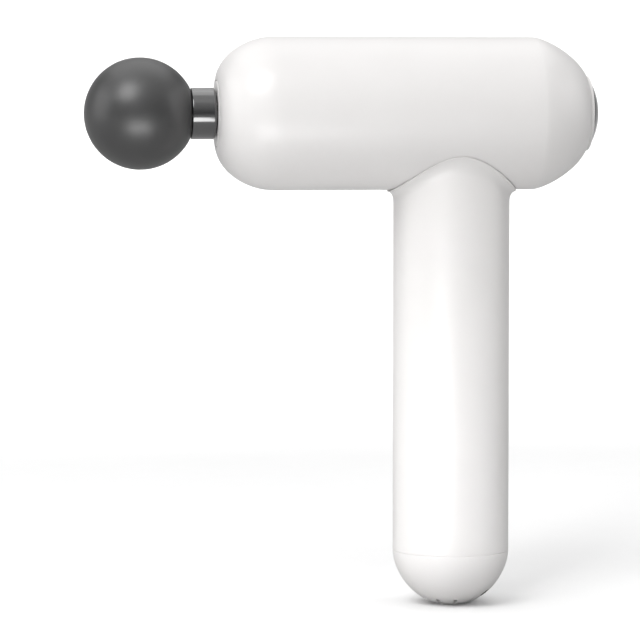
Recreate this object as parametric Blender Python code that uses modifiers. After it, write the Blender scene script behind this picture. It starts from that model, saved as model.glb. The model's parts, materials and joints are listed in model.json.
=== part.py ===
"""Percussion massage gun: a round head across the top of a round handle.

The nose points along -X, the handle hangs down -Z, and the origin is the centre of
the small flat on the handle's end. All sizes are in metres. The drive is drawn at
back dead centre: the crank pin is at the rear and the attachment is fully in.
"""

import math

import bmesh
import bpy
from mathutils import Matrix, Vector

MM = 0.001

# Facets round a full turn. Pieces that run in each other take the same count
WIDE_STEPS = 32
RING_STEPS = 28
PIN_STEPS = 16
CELL_STEPS = 16
SCREW_STEPS = 10

# Fits
GAP = 0.3 * MM  # between pieces that touch or run in each other
SEAM = 0.15 * MM  # each shell half stops this far from the parting plane
OVERLAP = 0.6 * MM  # how far joined shapes run into each other
PAST = 1.0 * MM  # how far a cutter runs past a face close to other shapes
BEYOND = 5.0 * MM  # how far a cutter runs past a face with nothing behind it
AT_AXIS = 1e-9  # a profile point nearer the axis than this is on it
MERGE = 1e-6  # vertices closer than this are one

# Head
HEAD_HEIGHT = 196.5 * MM  # of the head's axis above the handle's end
HEAD_RADIUS = 30.4 * MM
HEAD_WALL = 2.2 * MM
NOSE_REACH = 94.4 * MM  # nose face in front of the handle's axis
NOSE_ROUND = 22.4 * MM
NOSE_FLAT = 13.6 * MM
NOSE_POWER = 1.85
NOSE_DEPTH = 4.9 * MM  # thickness of the nose wall
NOSE_RIM = 0.6 * MM  # of the nose's flat face outside its ring
SEAL_ROOM = 3.2 * MM  # round the piston's bore, for the wiper seal
REAR_REACH = 53.6 * MM
REAR_ROUND = 21.0 * MM
REAR_HOLE = 15.3 * MM
REAR_POWER = 1.42
REAR_STEP = 2.0 * MM  # length of the rear opening's straight wall
CORNER_ROOM = 1.0 * MM  # inside points nearer a step than this are left out
ROUNDING_STEPS = 8
HEAD_STEPS = 44

# Handle and bottom cap
HANDLE_WALL = 2.2 * MM
CELL_RADIUS = 9.2 * MM
CELL_LENGTH = 65.0 * MM
CELL_PITCH = CELL_RADIUS + 0.15 * MM  # half the distance between cell centres
CELL_RING = CELL_PITCH / math.cos(math.radians(30))
HANDLE_BORE = CELL_RING + CELL_RADIUS + 1.05 * MM
HANDLE_RADIUS = HANDLE_BORE + HANDLE_WALL
HANDLE_STEPS = 36
NECK_RADIUS = HANDLE_RADIUS - 0.7 * MM
FLARE = 2.5 * MM  # how far the lip under the head stands out
FLARE_HEIGHT = 4.5 * MM
FLARE_CURVE = [(0.0, 1.0), (0.12, 0.62), (0.45, 0.28)]  # shares of width and height
FLARE_EDGE = 0.5 * MM  # height of the lip's outer edge
CAP_HEIGHT = 21.6 * MM
CAP_FLAT = 4.4 * MM
CAP_POWER = 1.77
CAP_LEDGE_HEIGHT = 15.7 * MM
CAP_LEDGE_RADIUS = 17.6 * MM
CAP_LEDGE_THICK = 1.0 * MM
SPIGOT_HEIGHT = 2.0 * MM
SPIGOT_WALL = 1.45 * MM
VENT_COUNT = 10
VENT_INNER = 5.6 * MM
VENT_OUTER = 12.4 * MM
VENT_WIDTH = 1.5 * MM
VENT_TOP = 10.0 * MM
PORT_RADIUS_FROM_AXIS = 14.7 * MM
PORT_TURN = math.radians(-30)
JACK_NOSE = 2.1 * MM
JACK_BODY = 3.2 * MM
JACK_LENGTH = 8.5 * MM
JACK_ROOM = 6.0 * MM  # depth of the cap's hole for the socket

# Massage attachment
BALL_RADIUS = 22.1 * MM
COLLAR_RADIUS = 10.15 * MM
COLLAR_REACH = 9.6 * MM  # from the collar's rear face to the ball
PLUG_RADIUS = 6.0 * MM
PLUG_LENGTH = 16.0 * MM
PIN_DEPTH = 13.0 * MM  # how far the stem runs into the ball
O_RING_WIRE = 0.85 * MM
O_RING_PROUD = 0.05 * MM
O_RING_PLACES = [3.4 * MM, 9.9 * MM]  # behind the collar's rear face
NOSE_RING_PROUD = 0.2 * MM
NOSE_RING_DEPTH = 2.0 * MM

# Piston, rod and crank
PISTON_RADIUS = 8.0 * MM
PISTON_TAIL = 6.0 * MM  # behind the wrist pin
SLEEVE_WALL = 3.7 * MM
SLEEVE_LENGTH = 37.0 * MM
THROW = 5.0 * MM
ROD_LENGTH = 42.0 * MM
ROD_THICK = 7.0 * MM
ROD_WIDTH = 8.0 * MM
SMALL_END = 6.0 * MM
BIG_END = 9.3 * MM
WRIST_PIN = 2.0 * MM
CRANK_PIN = 2.5 * MM
BIG_BEARING = 6.5 * MM
CRANK_RADIUS = 14.5 * MM
CRANK_THICK = 7.0 * MM
CRANK_CLEAR = 0.5 * MM  # between the crank disc and the rod
CRANK_STEP_ANGLE = 8  # degrees past square where the heavy side ends

# Frame and motor
PLATE_THICK = 2.8 * MM
PLATE_CLEAR = 2.2 * MM  # between the crank disc and the frame's plate
BULKHEAD_THICK = 4.0 * MM
DAMPER_WALL = 4.1 * MM
SHAFT_RADIUS = 2.5 * MM
BEARING_RADIUS = 4.5 * MM
BEARING_WIDTH = 3.0 * MM
STATOR_INNER = 6.5 * MM
STATOR_OUTER = 12.2 * MM
STATOR_HEIGHT = 9.0 * MM
AIR_GAP = 0.6 * MM
MAGNET_THICK = 1.4 * MM
BELL_WALL = 0.9 * MM
TEETH = 9
MOTOR_SCREW_RING = 10.0 * MM
MOTOR_SCREWS = [(0, -MOTOR_SCREW_RING), (0, MOTOR_SCREW_RING)]

# Rear panel
PANEL_RADIUS = 13.7 * MM
PANEL_PROUD = 5.6 * MM  # top of the dome behind the shell
PANEL_EDGE = 1.7 * MM  # edge of the dome behind the shell
BEZEL_PROUD = 1.5 * MM
BUTTON_RADIUS = 6.6 * MM
BUTTON_TRAVEL = 0.6 * MM
BUTTON_STEM = 1.6 * MM
BEZEL_DEPTH = 5.0 * MM
BEZEL_LEDGE = 2.7 * MM  # how far the bezel's floor runs in under the lens
PANEL_BOARD_DEPTH = 3.7 * MM  # of the board's front face inside the rear opening
PANEL_BOARD_THICK = 1.2 * MM
SWITCH_TOP = 2.2 * MM  # above the panel board's front face
LIGHT_INNER = 6.9 * MM
LIGHT_OUTER = 8.2 * MM

# Screws
BOSS_RADIUS = 4.0 * MM
SHELL_SCREW = 1.2 * MM
SHELL_SCREW_HEAD = 2.4 * MM
NECK_SCREW = 1.1 * MM
NECK_SCREW_HEAD = 2.2 * MM
NECK_BOSS = 2.8 * MM
NECK_BOSS_LENGTH = 12.0 * MM
NECK_HOLE_DEPTH = 11.0 * MM
BOSS_SHORT = 0.2 * MM  # each boss stops this far short of the face it meets
BOSS_INSET = 9.2 * MM  # of the upper bosses from the head's bore
BOSS_UNDER_PLATE = 1.2 * MM
BOSS_BEHIND_SLEEVE_FRONT = 16.0 * MM
BOSS_BEHIND_NECK = 1.4 * MM
SCREW_SEAT = 9.0 * MM
SCREW_REACH = 8.0 * MM

# Places along the head, measured from the handle's axis
NOSE_X = -NOSE_REACH
REAR_X = REAR_REACH
HEAD_BORE = HEAD_RADIUS - HEAD_WALL
WRIST_X = THROW - ROD_LENGTH
COLLAR_CLEAR = 0.4 * MM
COLLAR_X = NOSE_X - NOSE_RING_PROUD - COLLAR_CLEAR
PISTON_FACE = COLLAR_X + GAP
COLLAR_FRONT = COLLAR_X - COLLAR_REACH
BALL_SEAT = COLLAR_FRONT - GAP
BALL_X = BALL_SEAT - math.sqrt(BALL_RADIUS**2 - COLLAR_RADIUS**2)
SLEEVE_BORE = PISTON_RADIUS + GAP
SLEEVE_RADIUS = SLEEVE_BORE + SLEEVE_WALL
SLEEVE_FRONT = NOSE_X + NOSE_DEPTH + GAP
SLEEVE_REAR = SLEEVE_FRONT + SLEEVE_LENGTH
SLEEVE_TAIL = 11.5 * MM  # of the sleeve behind the bulkhead
BULKHEAD_X = SLEEVE_REAR - SLEEVE_TAIL
BULKHEAD_RADIUS = HEAD_BORE - GAP - DAMPER_WALL
NOSE_BORE = SLEEVE_BORE + SEAL_ROOM
NOSE_RING_RADIUS = NOSE_FLAT - NOSE_RIM

# Levels of the drive, measured from the head's axis
CRANK_TOP = -ROD_THICK / 2 - CRANK_CLEAR
CRANK_BOTTOM = CRANK_TOP - CRANK_THICK
PLATE_TOP = CRANK_BOTTOM - PLATE_CLEAR
PLATE_BOTTOM = PLATE_TOP - PLATE_THICK
NECK_TOP = PLATE_BOTTOM - GAP
BASE_TOP = PLATE_BOTTOM - GAP
BASE_THICK = 2.3 * MM
BELL_CLEAR = 0.6 * MM
STATOR_DROP = 2.6 * MM  # of the stator's top below the bell's rim
WINDING_CLEAR = 1.4 * MM
BASE_TUBE_LENGTH = 1.7 * MM  # of the base's tube below the stator
BELL_TOP = BASE_TOP - BASE_THICK - BELL_CLEAR
STATOR_TOP = BELL_TOP - STATOR_DROP
STATOR_BOTTOM = STATOR_TOP - STATOR_HEIGHT
WINDING_OVER = 2.0 * MM
BELL_FLOOR_TOP = STATOR_BOTTOM - WINDING_OVER - WINDING_CLEAR
BELL_FLOOR = 1.6 * MM
BELL_BOTTOM = BELL_FLOOR_TOP - BELL_FLOOR
HUB_DROP = 1.2 * MM
MAGNET_INNER = STATOR_OUTER + AIR_GAP
BELL_INNER = MAGNET_INNER + MAGNET_THICK + GAP
BELL_RADIUS = BELL_INNER + BELL_WALL
BASE_TUBE = BEARING_RADIUS + GAP
BASE_TUBE_OUTER = STATOR_INNER - GAP
BASE_TUBE_BOTTOM = STATOR_BOTTOM - BASE_TUBE_LENGTH
NECK_BOSS_INTO_WALL = 0.35 * MM
NECK_SCREW_RING = HANDLE_BORE - NECK_BOSS + NECK_BOSS_INTO_WALL

# Shell screws: (x, level) of each boss
BOSS_LEVEL = HEAD_BORE - BOSS_INSET
REAR_BOSS_DROP = BOSS_RADIUS + BOSS_UNDER_PLATE - PLATE_BOTTOM
FRONT_BOSS_X = SLEEVE_FRONT + BOSS_BEHIND_SLEEVE_FRONT
REAR_BOSS_X = NECK_RADIUS + BOSS_RADIUS + BOSS_BEHIND_NECK
BOSS_PLACES = [
    (FRONT_BOSS_X, BOSS_LEVEL),
    (FRONT_BOSS_X, -BOSS_LEVEL),
    (REAR_BOSS_X, BOSS_LEVEL),
    (REAR_BOSS_X, -REAR_BOSS_DROP),
]

# Levels of the battery, measured from the handle's end
HANDLE_FOOT = CAP_HEIGHT + SEAM
SPIGOT_TOP = CAP_HEIGHT + SPIGOT_HEIGHT
HOLDER_BOTTOM = SPIGOT_TOP + GAP
HOLDER_FLOOR = 1.2 * MM
HOLDER_DEPTH = 5.0 * MM
CELL_FOOT = HOLDER_BOTTOM + HOLDER_FLOOR + GAP
SPACER_THICK = 0.8 * MM
CELL_LAYER = CELL_LENGTH + GAP + SPACER_THICK + GAP
CELL_TOP = CELL_FOOT + CELL_LAYER + CELL_LENGTH
CELL_ANGLES = [math.radians(60 + 120 * turn) for turn in range(3)]
LEAD_RADIUS = 0.8 * MM
LEAD_BEND = 2.5 * MM
LEAD_FROM_WALL = 2.75 * MM
LEAD_X = HANDLE_BORE - LEAD_FROM_WALL
LEAD_STEP = 3.6 * MM
WINDOW_HALF = LEAD_STEP + 2.0 * MM

# Driver board, in the rear of the head
BOARD_THICK = 1.6 * MM
BOARD_BOTTOM = -6.0 * MM
BOARD_BEHIND_LEAD = 3.4 * MM
BOARD_FRONT = LEAD_X + BOARD_BEHIND_LEAD
BOARD_LENGTH = 21.0 * MM
BOARD_HALF = 15.0 * MM
PLATE_REAR = 41.0 * MM
CHARGE_BOARD_THICK = 1.2 * MM
SOCKET_HEIGHT = 3.2 * MM  # of the sockets under the driver board
PANEL_SOCKET_DEPTH = 3.0 * MM
PLUG_FROM_LEAD = 3.0 * MM

ROOT_AT = Vector((0, 0, 0))
HEAD_AT = Vector((0, 0, HEAD_HEIGHT))
WRIST_AT = Vector((WRIST_X, 0, HEAD_HEIGHT))
TURN_TO = {
    "Z": (0, 0, 0),
    "X": (0, math.pi / 2, 0),
    "Y": (-math.pi / 2, 0, 0),
}


def clear_scene():
    for old in list(bpy.data.objects):
        bpy.data.objects.remove(old, do_unlink=True)


def new_collection(name):
    made = bpy.data.collections.new(name)
    bpy.context.scene.collection.children.link(made)
    return made


def new_material(name, colour, roughness, metallic=0.0):
    made = bpy.data.materials.new(name)
    made.use_nodes = True
    shader = made.node_tree.nodes["Principled BSDF"]
    shader.inputs["Base Color"].default_value = (*colour, 1)
    shader.inputs["Roughness"].default_value = roughness
    shader.inputs["Metallic"].default_value = metallic
    return made


def new_empty(name, at):
    made = bpy.data.objects.new(name, None)
    made.location = at
    made.empty_display_size = 5 * MM
    PARTS.objects.link(made)
    return made


def place(obj, at, group, material):
    """A part goes in the parts collection, under its group's empty."""
    PARTS.objects.link(obj)
    obj.parent = group
    obj.location = at - group.location
    obj.data.materials.append(material)
    return obj


def place_cutter(obj, at):
    CUTTERS.objects.link(obj)
    obj.location = at
    obj.hide_render = True
    obj.display_type = "WIRE"
    return obj


def clockwise(points):
    """The (radius, height) profile turned so that its outer side runs downwards."""
    area = 0.0
    for (r0, h0), (r1, h1) in zip(points, points[1:] + points[:1]):
        area += r0 * h1 - r1 * h0
    return points if area < 0 else points[::-1]


def turned_object(name, profile, axis, steps, closed):
    """A solid of revolution from (height along the axis, radius) points."""
    points = clockwise([(radius, height) for height, radius in profile])
    if not closed and points[0][0] > AT_AXIS:
        shift = next(i for i in range(len(points)) if points[i][0] < AT_AXIS)
        points = points[shift:] + points[:shift]
    mesh = bpy.data.meshes.new(name)
    edges = [(i, i + 1) for i in range(len(points) - 1)]
    if closed:
        edges.append((len(points) - 1, 0))
    mesh.from_pydata([(radius, 0, height) for radius, height in points], edges, [])
    obj = bpy.data.objects.new(name, mesh)
    obj.rotation_euler = TURN_TO[axis]
    screw = obj.modifiers.new("Turn", "SCREW")
    screw.axis = "Z"
    screw.angle = 2 * math.pi
    screw.steps = steps
    screw.render_steps = steps
    screw.use_merge_vertices = True
    screw.merge_threshold = MERGE
    screw.use_smooth_shade = True
    return obj


def turned(name, profile, material, group, at=HEAD_AT, axis="X", steps=PIN_STEPS):
    closed = min(radius for _, radius in profile) > AT_AXIS
    return place(turned_object(name, profile, axis, steps, closed), at, group, material)


def turned_cutter(name, profile, at=HEAD_AT, axis="X", steps=PIN_STEPS):
    closed = min(radius for _, radius in profile) > AT_AXIS
    return place_cutter(turned_object(name, profile, axis, steps, closed), at)


def ring(start, end, inner, outer):
    """The profile of a plain ring."""
    return [(start, inner), (start, outer), (end, outer), (end, inner)]


def rod(start, end, radius):
    """The profile of a plain solid cylinder."""
    return [(start, 0.0), (start, radius), (end, radius), (end, 0.0)]


def bevelled_ring(start, end, inner, outer, bevel):
    """A ring whose outer corners are bevelled."""
    return [
        (start, inner),
        (start, outer - bevel),
        (start + bevel, outer),
        (end - bevel, outer),
        (end, outer - bevel),
        (end, inner),
    ]


def rounding(flat, full, length, power, count):
    """(distance behind the face, radius) along a rounded end, face first."""
    points = []
    for step in range(count + 1):
        angle = math.pi / 2 * step / count
        along = length * (1 - math.cos(angle) ** (2 / power))
        points.append((along, flat + (full - flat) * math.sin(angle) ** (2 / power)))
    return points


def inset(points, wall):
    """The points moved towards the axis by one wall, square to the outline."""
    moved = []
    for i, (along, radius) in enumerate(points):
        before = points[max(i - 1, 0)]
        after = points[min(i + 1, len(points) - 1)]
        slope = Vector((after[0] - before[0], after[1] - before[1])).normalized()
        moved.append((along + wall * slope.y, radius - wall * slope.x))
    return moved


def box_mesh(name, boxes):
    """One mesh of separate boxes, each a low corner and a high corner."""
    shape = bmesh.new()
    for low, high in boxes:
        middle = (Vector(low) + Vector(high)) / 2
        size = Vector(high) - Vector(low)
        matrix = Matrix.Translation(middle) @ Matrix.Diagonal((*size, 1))
        bmesh.ops.create_cube(shape, size=1, matrix=matrix)
    mesh = bpy.data.meshes.new(name)
    shape.to_mesh(mesh)
    shape.free()
    return mesh


def box_cutter(name, boxes, at=HEAD_AT):
    return place_cutter(bpy.data.objects.new(name, box_mesh(name, boxes)), at)


def cylinder_mesh(name, cylinders, sides):
    """One mesh of separate cylinders, each (start, end, radius)."""
    shape = bmesh.new()
    for start, end, radius in cylinders:
        start = Vector(start)
        span = Vector(end) - start
        turn = span.to_track_quat("Z", "Y").to_matrix().to_4x4()
        matrix = Matrix.Translation(start + span / 2) @ turn
        bmesh.ops.create_cone(
            shape,
            cap_ends=True,
            segments=sides,
            radius1=radius,
            radius2=radius,
            depth=span.length,
            matrix=matrix,
        )
    mesh = bpy.data.meshes.new(name)
    shape.to_mesh(mesh)
    shape.free()
    return mesh


def cylinder_cutter(name, cylinders, at=HEAD_AT, sides=PIN_STEPS):
    mesh = cylinder_mesh(name, cylinders, sides)
    return place_cutter(bpy.data.objects.new(name, mesh), at)


def apply_boolean(obj, other, operation):
    change = obj.modifiers.new(operation.title(), "BOOLEAN")
    change.operation = operation
    change.solver = "EXACT"
    change.object = other
    return obj


def cut(obj, cutter):
    return apply_boolean(obj, cutter, "DIFFERENCE")


def join(obj, other):
    return apply_boolean(obj, other, "UNION")


def arc(centre, radius, start, end, count):
    """Points along an arc, angles in degrees."""
    points = []
    for step in range(count + 1):
        angle = math.radians(start + (end - start) * step / count)
        points.append(
            (centre[0] + radius * math.cos(angle), centre[1] + radius * math.sin(angle))
        )
    return points


def circle(centre, radius, count):
    return arc(centre, radius, 0, 360 - 360 / count, count - 1)


def flat_mesh(name, outlines, bottom, top):
    """A plate from closed (x, y) outlines, the first one outside and the rest holes."""
    curve = bpy.data.curves.new(name, "CURVE")
    curve.dimensions = "2D"
    curve.fill_mode = "BOTH"
    curve.extrude = (top - bottom) / 2
    for outline in outlines:
        spline = curve.splines.new("POLY")
        spline.points.add(len(outline) - 1)
        spline.use_cyclic_u = True
        for point, (x, y) in zip(spline.points, outline):
            point.co = (x, y, 0, 1)
    maker = bpy.data.objects.new(name + "_outline", curve)
    bpy.context.scene.collection.objects.link(maker)
    bpy.context.view_layer.update()
    graph = bpy.context.evaluated_depsgraph_get()
    mesh = bpy.data.meshes.new_from_object(maker.evaluated_get(graph))
    bpy.data.objects.remove(maker, do_unlink=True)
    bpy.data.curves.remove(curve)
    mesh.name = name
    shape = bmesh.new()
    shape.from_mesh(mesh)
    bmesh.ops.remove_doubles(shape, verts=shape.verts, dist=MERGE)
    bmesh.ops.translate(shape, verts=shape.verts, vec=(0, 0, (bottom + top) / 2))
    bmesh.ops.recalc_face_normals(shape, faces=shape.faces)
    shape.to_mesh(mesh)
    shape.free()
    return mesh


def flat_part(name, outlines, bottom, top, material, group, at=HEAD_AT):
    mesh = flat_mesh(name, outlines, bottom, top)
    return place(bpy.data.objects.new(name, mesh), at, group, material)


def rounded_route(points, bend):
    """The straight runs between the points, with each corner rounded."""
    points = [Vector(point) for point in points]
    route = [points[0]]
    most = 0.45  # of a run that one bend may take
    for before, corner, after in zip(points, points[1:], points[2:]):
        back = before - corner
        onward = after - corner
        reach = min(bend, most * back.length, most * onward.length)
        start = corner + back.normalized() * reach
        end = corner + onward.normalized() * reach
        for t in (0, 1 / 3, 2 / 3, 1):
            route.append(start * (1 - t) ** 2 + corner * 2 * t * (1 - t) + end * t**2)
    route.append(points[-1])
    return route


def lead(name, points, radius, material, group):
    """A round wire along a route given in world metres."""
    curve = bpy.data.curves.new(name, "CURVE")
    curve.dimensions = "3D"
    curve.bevel_depth = radius
    curve.bevel_resolution = 1
    curve.use_fill_caps = True
    route = rounded_route(points, LEAD_BEND)
    spline = curve.splines.new("POLY")
    spline.points.add(len(route) - 1)
    for point, where in zip(spline.points, route):
        point.co = (*(where - group.location), 1)
    return place(bpy.data.objects.new(name, curve), group.location.copy(), group, material)


def head_outline():
    """The head's outer (x, radius) points, from the nose to the rear opening."""
    nose = rounding(NOSE_FLAT, HEAD_RADIUS, NOSE_ROUND, NOSE_POWER, ROUNDING_STEPS)
    rear = rounding(REAR_HOLE, HEAD_RADIUS, REAR_ROUND, REAR_POWER, ROUNDING_STEPS)
    front_part = [(NOSE_X + along, radius) for along, radius in nose]
    rear_part = [(REAR_X - along, radius) for along, radius in reversed(rear)]
    return front_part, rear_part


def radius_at(points, x):
    """The outline's radius at this place along the axis."""
    for low, high in zip(points, points[1:]):
        if low[0] <= x < high[0]:
            return low[1] + (x - low[0]) / (high[0] - low[0]) * (high[1] - low[1])
    return points[-1][1]


def head_profile():
    """The shell's closed section: outside, rear opening, inside, nose bores."""
    front_part, rear_part = head_outline()
    nose_wall = NOSE_X + NOSE_DEPTH
    inside = inset(front_part + rear_part, HEAD_WALL)
    front_inside = inside[: len(front_part)]
    rear_inside = inside[len(front_part) :]
    kept = [p for p in front_inside[::2] if p[0] > nose_wall + CORNER_ROOM]
    kept += [p for p in rear_inside[::2] if p[1] > REAR_HOLE + CORNER_ROOM]
    profile = [(NOSE_X, NOSE_RING_RADIUS + GAP)]
    profile += front_part + rear_part
    profile.append((kept[-1][0] + REAR_STEP, REAR_HOLE))
    profile += kept[::-1]
    profile.append((nose_wall, radius_at(inside, nose_wall)))
    profile.append((nose_wall, NOSE_BORE))
    profile.append((NOSE_X + NOSE_RING_DEPTH + GAP, NOSE_BORE))
    profile.append((NOSE_X + NOSE_RING_DEPTH + GAP, NOSE_RING_RADIUS + GAP))
    return profile


def build_head_shells():
    """Two half shells that meet on the parting plane and screw together inside."""
    front_part, rear_part = head_outline()
    within = inset(front_part + rear_part, HEAD_WALL / 2)
    envelope = [(within[0][0], 0.0)] + within + [(within[-1][0], 0.0)]
    half_width = HEAD_RADIUS + BEYOND
    half_length = NOSE_REACH + REAR_REACH
    neck_hole = cylinder_cutter(
        "neck_hole_cutter",
        [((0, 0, -HEAD_RADIUS - BEYOND), (0, 0, PLATE_TOP), NECK_RADIUS + GAP)],
        sides=HANDLE_STEPS,
    )
    for side, name in ((-1, "left"), (1, "right")):
        shell = turned(
            "head_shell_" + name, head_profile(), WHITE, HOUSING, steps=HEAD_STEPS
        )
        corner = (-half_length, -side * half_width, -half_width)
        other = (half_length, side * SEAM, half_width)
        low = tuple(min(a, b) for a, b in zip(corner, other))
        high = tuple(max(a, b) for a, b in zip(corner, other))
        cut(shell, box_cutter(name + "_half_cutter", [(low, high)]))
        for number, (x, z) in enumerate(BOSS_PLACES, 1):
            face = (x, side * (SEAM + BOSS_SHORT), z)
            root = (x, side * HEAD_RADIUS, z)
            boss = cylinder_cutter(f"{name}_boss_{number}", [(face, root, BOSS_RADIUS)])
            solid = turned_cutter(f"{name}_boss_limit_{number}", envelope, steps=HEAD_STEPS)
            apply_boolean(boss, solid, "INTERSECT")
            join(shell, boss)
        holes = []
        for x, z in BOSS_PLACES:
            end = SCREW_SEAT + PAST if side > 0 else SCREW_REACH + 2 * PAST
            holes.append(((x, -side * PAST, z), (x, side * end, z), SHELL_SCREW + GAP))
        cut(shell, cylinder_cutter(name + "_screw_holes", holes))
        if side > 0:
            sinks = [
                ((x, SCREW_SEAT, z), (x, half_width, z), SHELL_SCREW_HEAD + GAP)
                for x, z in BOSS_PLACES
            ]
            cut(shell, cylinder_cutter("right_screw_sinks", sinks))
        cut(shell, neck_hole)


def build_shell_screws():
    """Pan-head screws with a six-sided socket, driven from the right-hand side."""
    seat = SCREW_SEAT + GAP
    head = 1.8 * MM
    shoulder = seat + head * 0.7
    socket_floor = seat + head * 0.35
    crown = SHELL_SCREW_HEAD * 0.8
    tip = SHELL_SCREW * 0.6
    taper = 1.2 * MM
    for number, (x, z) in enumerate(BOSS_PLACES, 1):
        profile = [
            (-SCREW_REACH, 0.0),
            (-SCREW_REACH, tip),
            (-SCREW_REACH + taper, SHELL_SCREW),
            (seat, SHELL_SCREW),
            (seat, SHELL_SCREW_HEAD),
            (shoulder, SHELL_SCREW_HEAD),
            (seat + head, crown),
            (seat + head, 0.0),
        ]
        at = HEAD_AT + Vector((x, 0, z))
        name = f"shell_screw_{number}"
        screw = turned(name, profile, STEEL, HOUSING, at=at, axis="Y", steps=SCREW_STEPS)
        socket = cylinder_cutter(
            f"shell_socket_{number}",
            [((0, socket_floor, 0), (0, seat + head * 2, 0), SHELL_SCREW)],
            at=at,
            sides=6,
        )
        cut(screw, socket)


def saddle(radius, angle, clear=GAP):
    """Height of the head's underside over a point of the handle's plan."""
    side = radius * math.sin(angle)
    return HEAD_HEIGHT - math.sqrt((HEAD_RADIUS + clear) ** 2 - side**2)


def build_handle():
    """The handle tube: its top edge follows the head, and its neck runs up inside.

    Each ring of it is (radius, drop below the head's underside, or a level instead).
    """
    neck_top = HEAD_HEIGHT + NECK_TOP
    lip = HANDLE_RADIUS + FLARE
    rings = [
        (HANDLE_BORE, None, HANDLE_FOOT),
        (HANDLE_RADIUS, None, HANDLE_FOOT),
        *((HANDLE_RADIUS + FLARE * out, FLARE_HEIGHT * down, None) for out, down in FLARE_CURVE),
        (lip, FLARE_EDGE, None),
        (lip, 0.0, None),
        (NECK_RADIUS, 0.0, None),
        (NECK_RADIUS, None, neck_top),
        (HANDLE_BORE, None, neck_top),
    ]
    shape = bmesh.new()
    loops = []
    for radius, drop, level in rings:
        loop = []
        for step in range(HANDLE_STEPS):
            angle = 2 * math.pi * step / HANDLE_STEPS
            height = saddle(radius, angle) - drop if level is None else level
            loop.append(
                shape.verts.new((radius * math.cos(angle), radius * math.sin(angle), height))
            )
        loops.append(loop)
    for lower, upper in zip(loops, loops[1:] + loops[:1]):
        for step in range(HANDLE_STEPS):
            after = (step + 1) % HANDLE_STEPS
            shape.faces.new((lower[step], lower[after], upper[after], upper[step]))
    bmesh.ops.recalc_face_normals(shape, faces=shape.faces)
    mesh = bpy.data.meshes.new("handle_shell")
    shape.to_mesh(mesh)
    shape.free()
    handle = place(bpy.data.objects.new("handle_shell", mesh), ROOT_AT, HOUSING, WHITE)
    bosses = []
    holes = []
    for x, y in neck_screw_places():
        top = NECK_TOP - BOSS_SHORT
        floor = top - NECK_HOLE_DEPTH
        bosses.append(((x, y, top - NECK_BOSS_LENGTH), (x, y, top), NECK_BOSS))
        holes.append(((x, y, floor), (x, y, top + 2 * PAST), NECK_SCREW + GAP))
    join(handle, cylinder_cutter("neck_bosses", bosses))
    cut(handle, cylinder_cutter("neck_boss_holes", holes, sides=SCREW_STEPS))
    mesh.shade_smooth()
    return handle


def neck_screw_places():
    """Four places round the neck, clear of the leads at the rear."""
    angles = [math.radians(turn) for turn in (45, 135, 225, 315)]
    return [(NECK_SCREW_RING * math.cos(a), NECK_SCREW_RING * math.sin(a)) for a in angles]


def cap_outline():
    """The cap's outer (height, radius) points, from its flat to its rim."""
    return rounding(CAP_FLAT, HANDLE_RADIUS, CAP_HEIGHT - SEAM, CAP_POWER, ROUNDING_STEPS)


def port_frame():
    """Where the charging socket meets the dome, and the direction it faces."""
    outline = cap_outline()
    for low, high in zip(outline, outline[1:]):
        if low[1] <= PORT_RADIUS_FROM_AXIS < high[1]:
            part = (PORT_RADIUS_FROM_AXIS - low[1]) / (high[1] - low[1])
            height = low[0] + part * (high[0] - low[0])
            slope = Vector((high[0] - low[0], high[1] - low[1])).normalized()
    radial = Vector((math.cos(PORT_TURN), math.sin(PORT_TURN), 0))
    at = radial * PORT_RADIUS_FROM_AXIS + Vector((0, 0, height))
    return at, (radial * slope.x - Vector((0, 0, slope.y))).normalized()


def build_bottom_cap():
    outline = cap_outline()
    spigot = HANDLE_BORE - GAP
    inside = [p for p in inset(outline, HANDLE_WALL) if p[1] < CAP_LEDGE_RADIUS - GAP]
    profile = [(0.0, 0.0)] + outline
    profile.append((CAP_HEIGHT - SEAM, spigot))
    profile.append((SPIGOT_TOP, spigot))
    profile.append((SPIGOT_TOP, spigot - SPIGOT_WALL))
    profile.append((CAP_LEDGE_HEIGHT, spigot - SPIGOT_WALL))
    profile.append((CAP_LEDGE_HEIGHT, CAP_LEDGE_RADIUS))
    profile.append((inside[-1][0] + CAP_LEDGE_THICK, CAP_LEDGE_RADIUS))
    profile += inside[::-1]
    profile.append((inside[0][0], 0.0))
    cap = turned(
        "bottom_cap", profile, WHITE, HOUSING, at=ROOT_AT, axis="Z", steps=HANDLE_STEPS
    )
    slots = bmesh.new()
    for number in range(VENT_COUNT):
        turn = Matrix.Rotation(2 * math.pi * (number + 0.5) / VENT_COUNT, 4, "Z")
        middle = Matrix.Translation(((VENT_INNER + VENT_OUTER) / 2, 0, (VENT_TOP - 2 * PAST) / 2))
        size = Matrix.Diagonal((VENT_OUTER - VENT_INNER, VENT_WIDTH, VENT_TOP + 2 * PAST, 1))
        bmesh.ops.create_cube(slots, size=1, matrix=turn @ middle @ size)
    mesh = bpy.data.meshes.new("vent_cutter")
    slots.to_mesh(mesh)
    slots.free()
    cut(cap, place_cutter(bpy.data.objects.new("vent_cutter", mesh), ROOT_AT))
    at, facing = port_frame()
    port_hole = [(at + facing * BEYOND, at - facing * JACK_ROOM, JACK_NOSE + GAP)]
    cut(cap, cylinder_cutter("port_cutter", port_hole, at=ROOT_AT, sides=PIN_STEPS))


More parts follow.
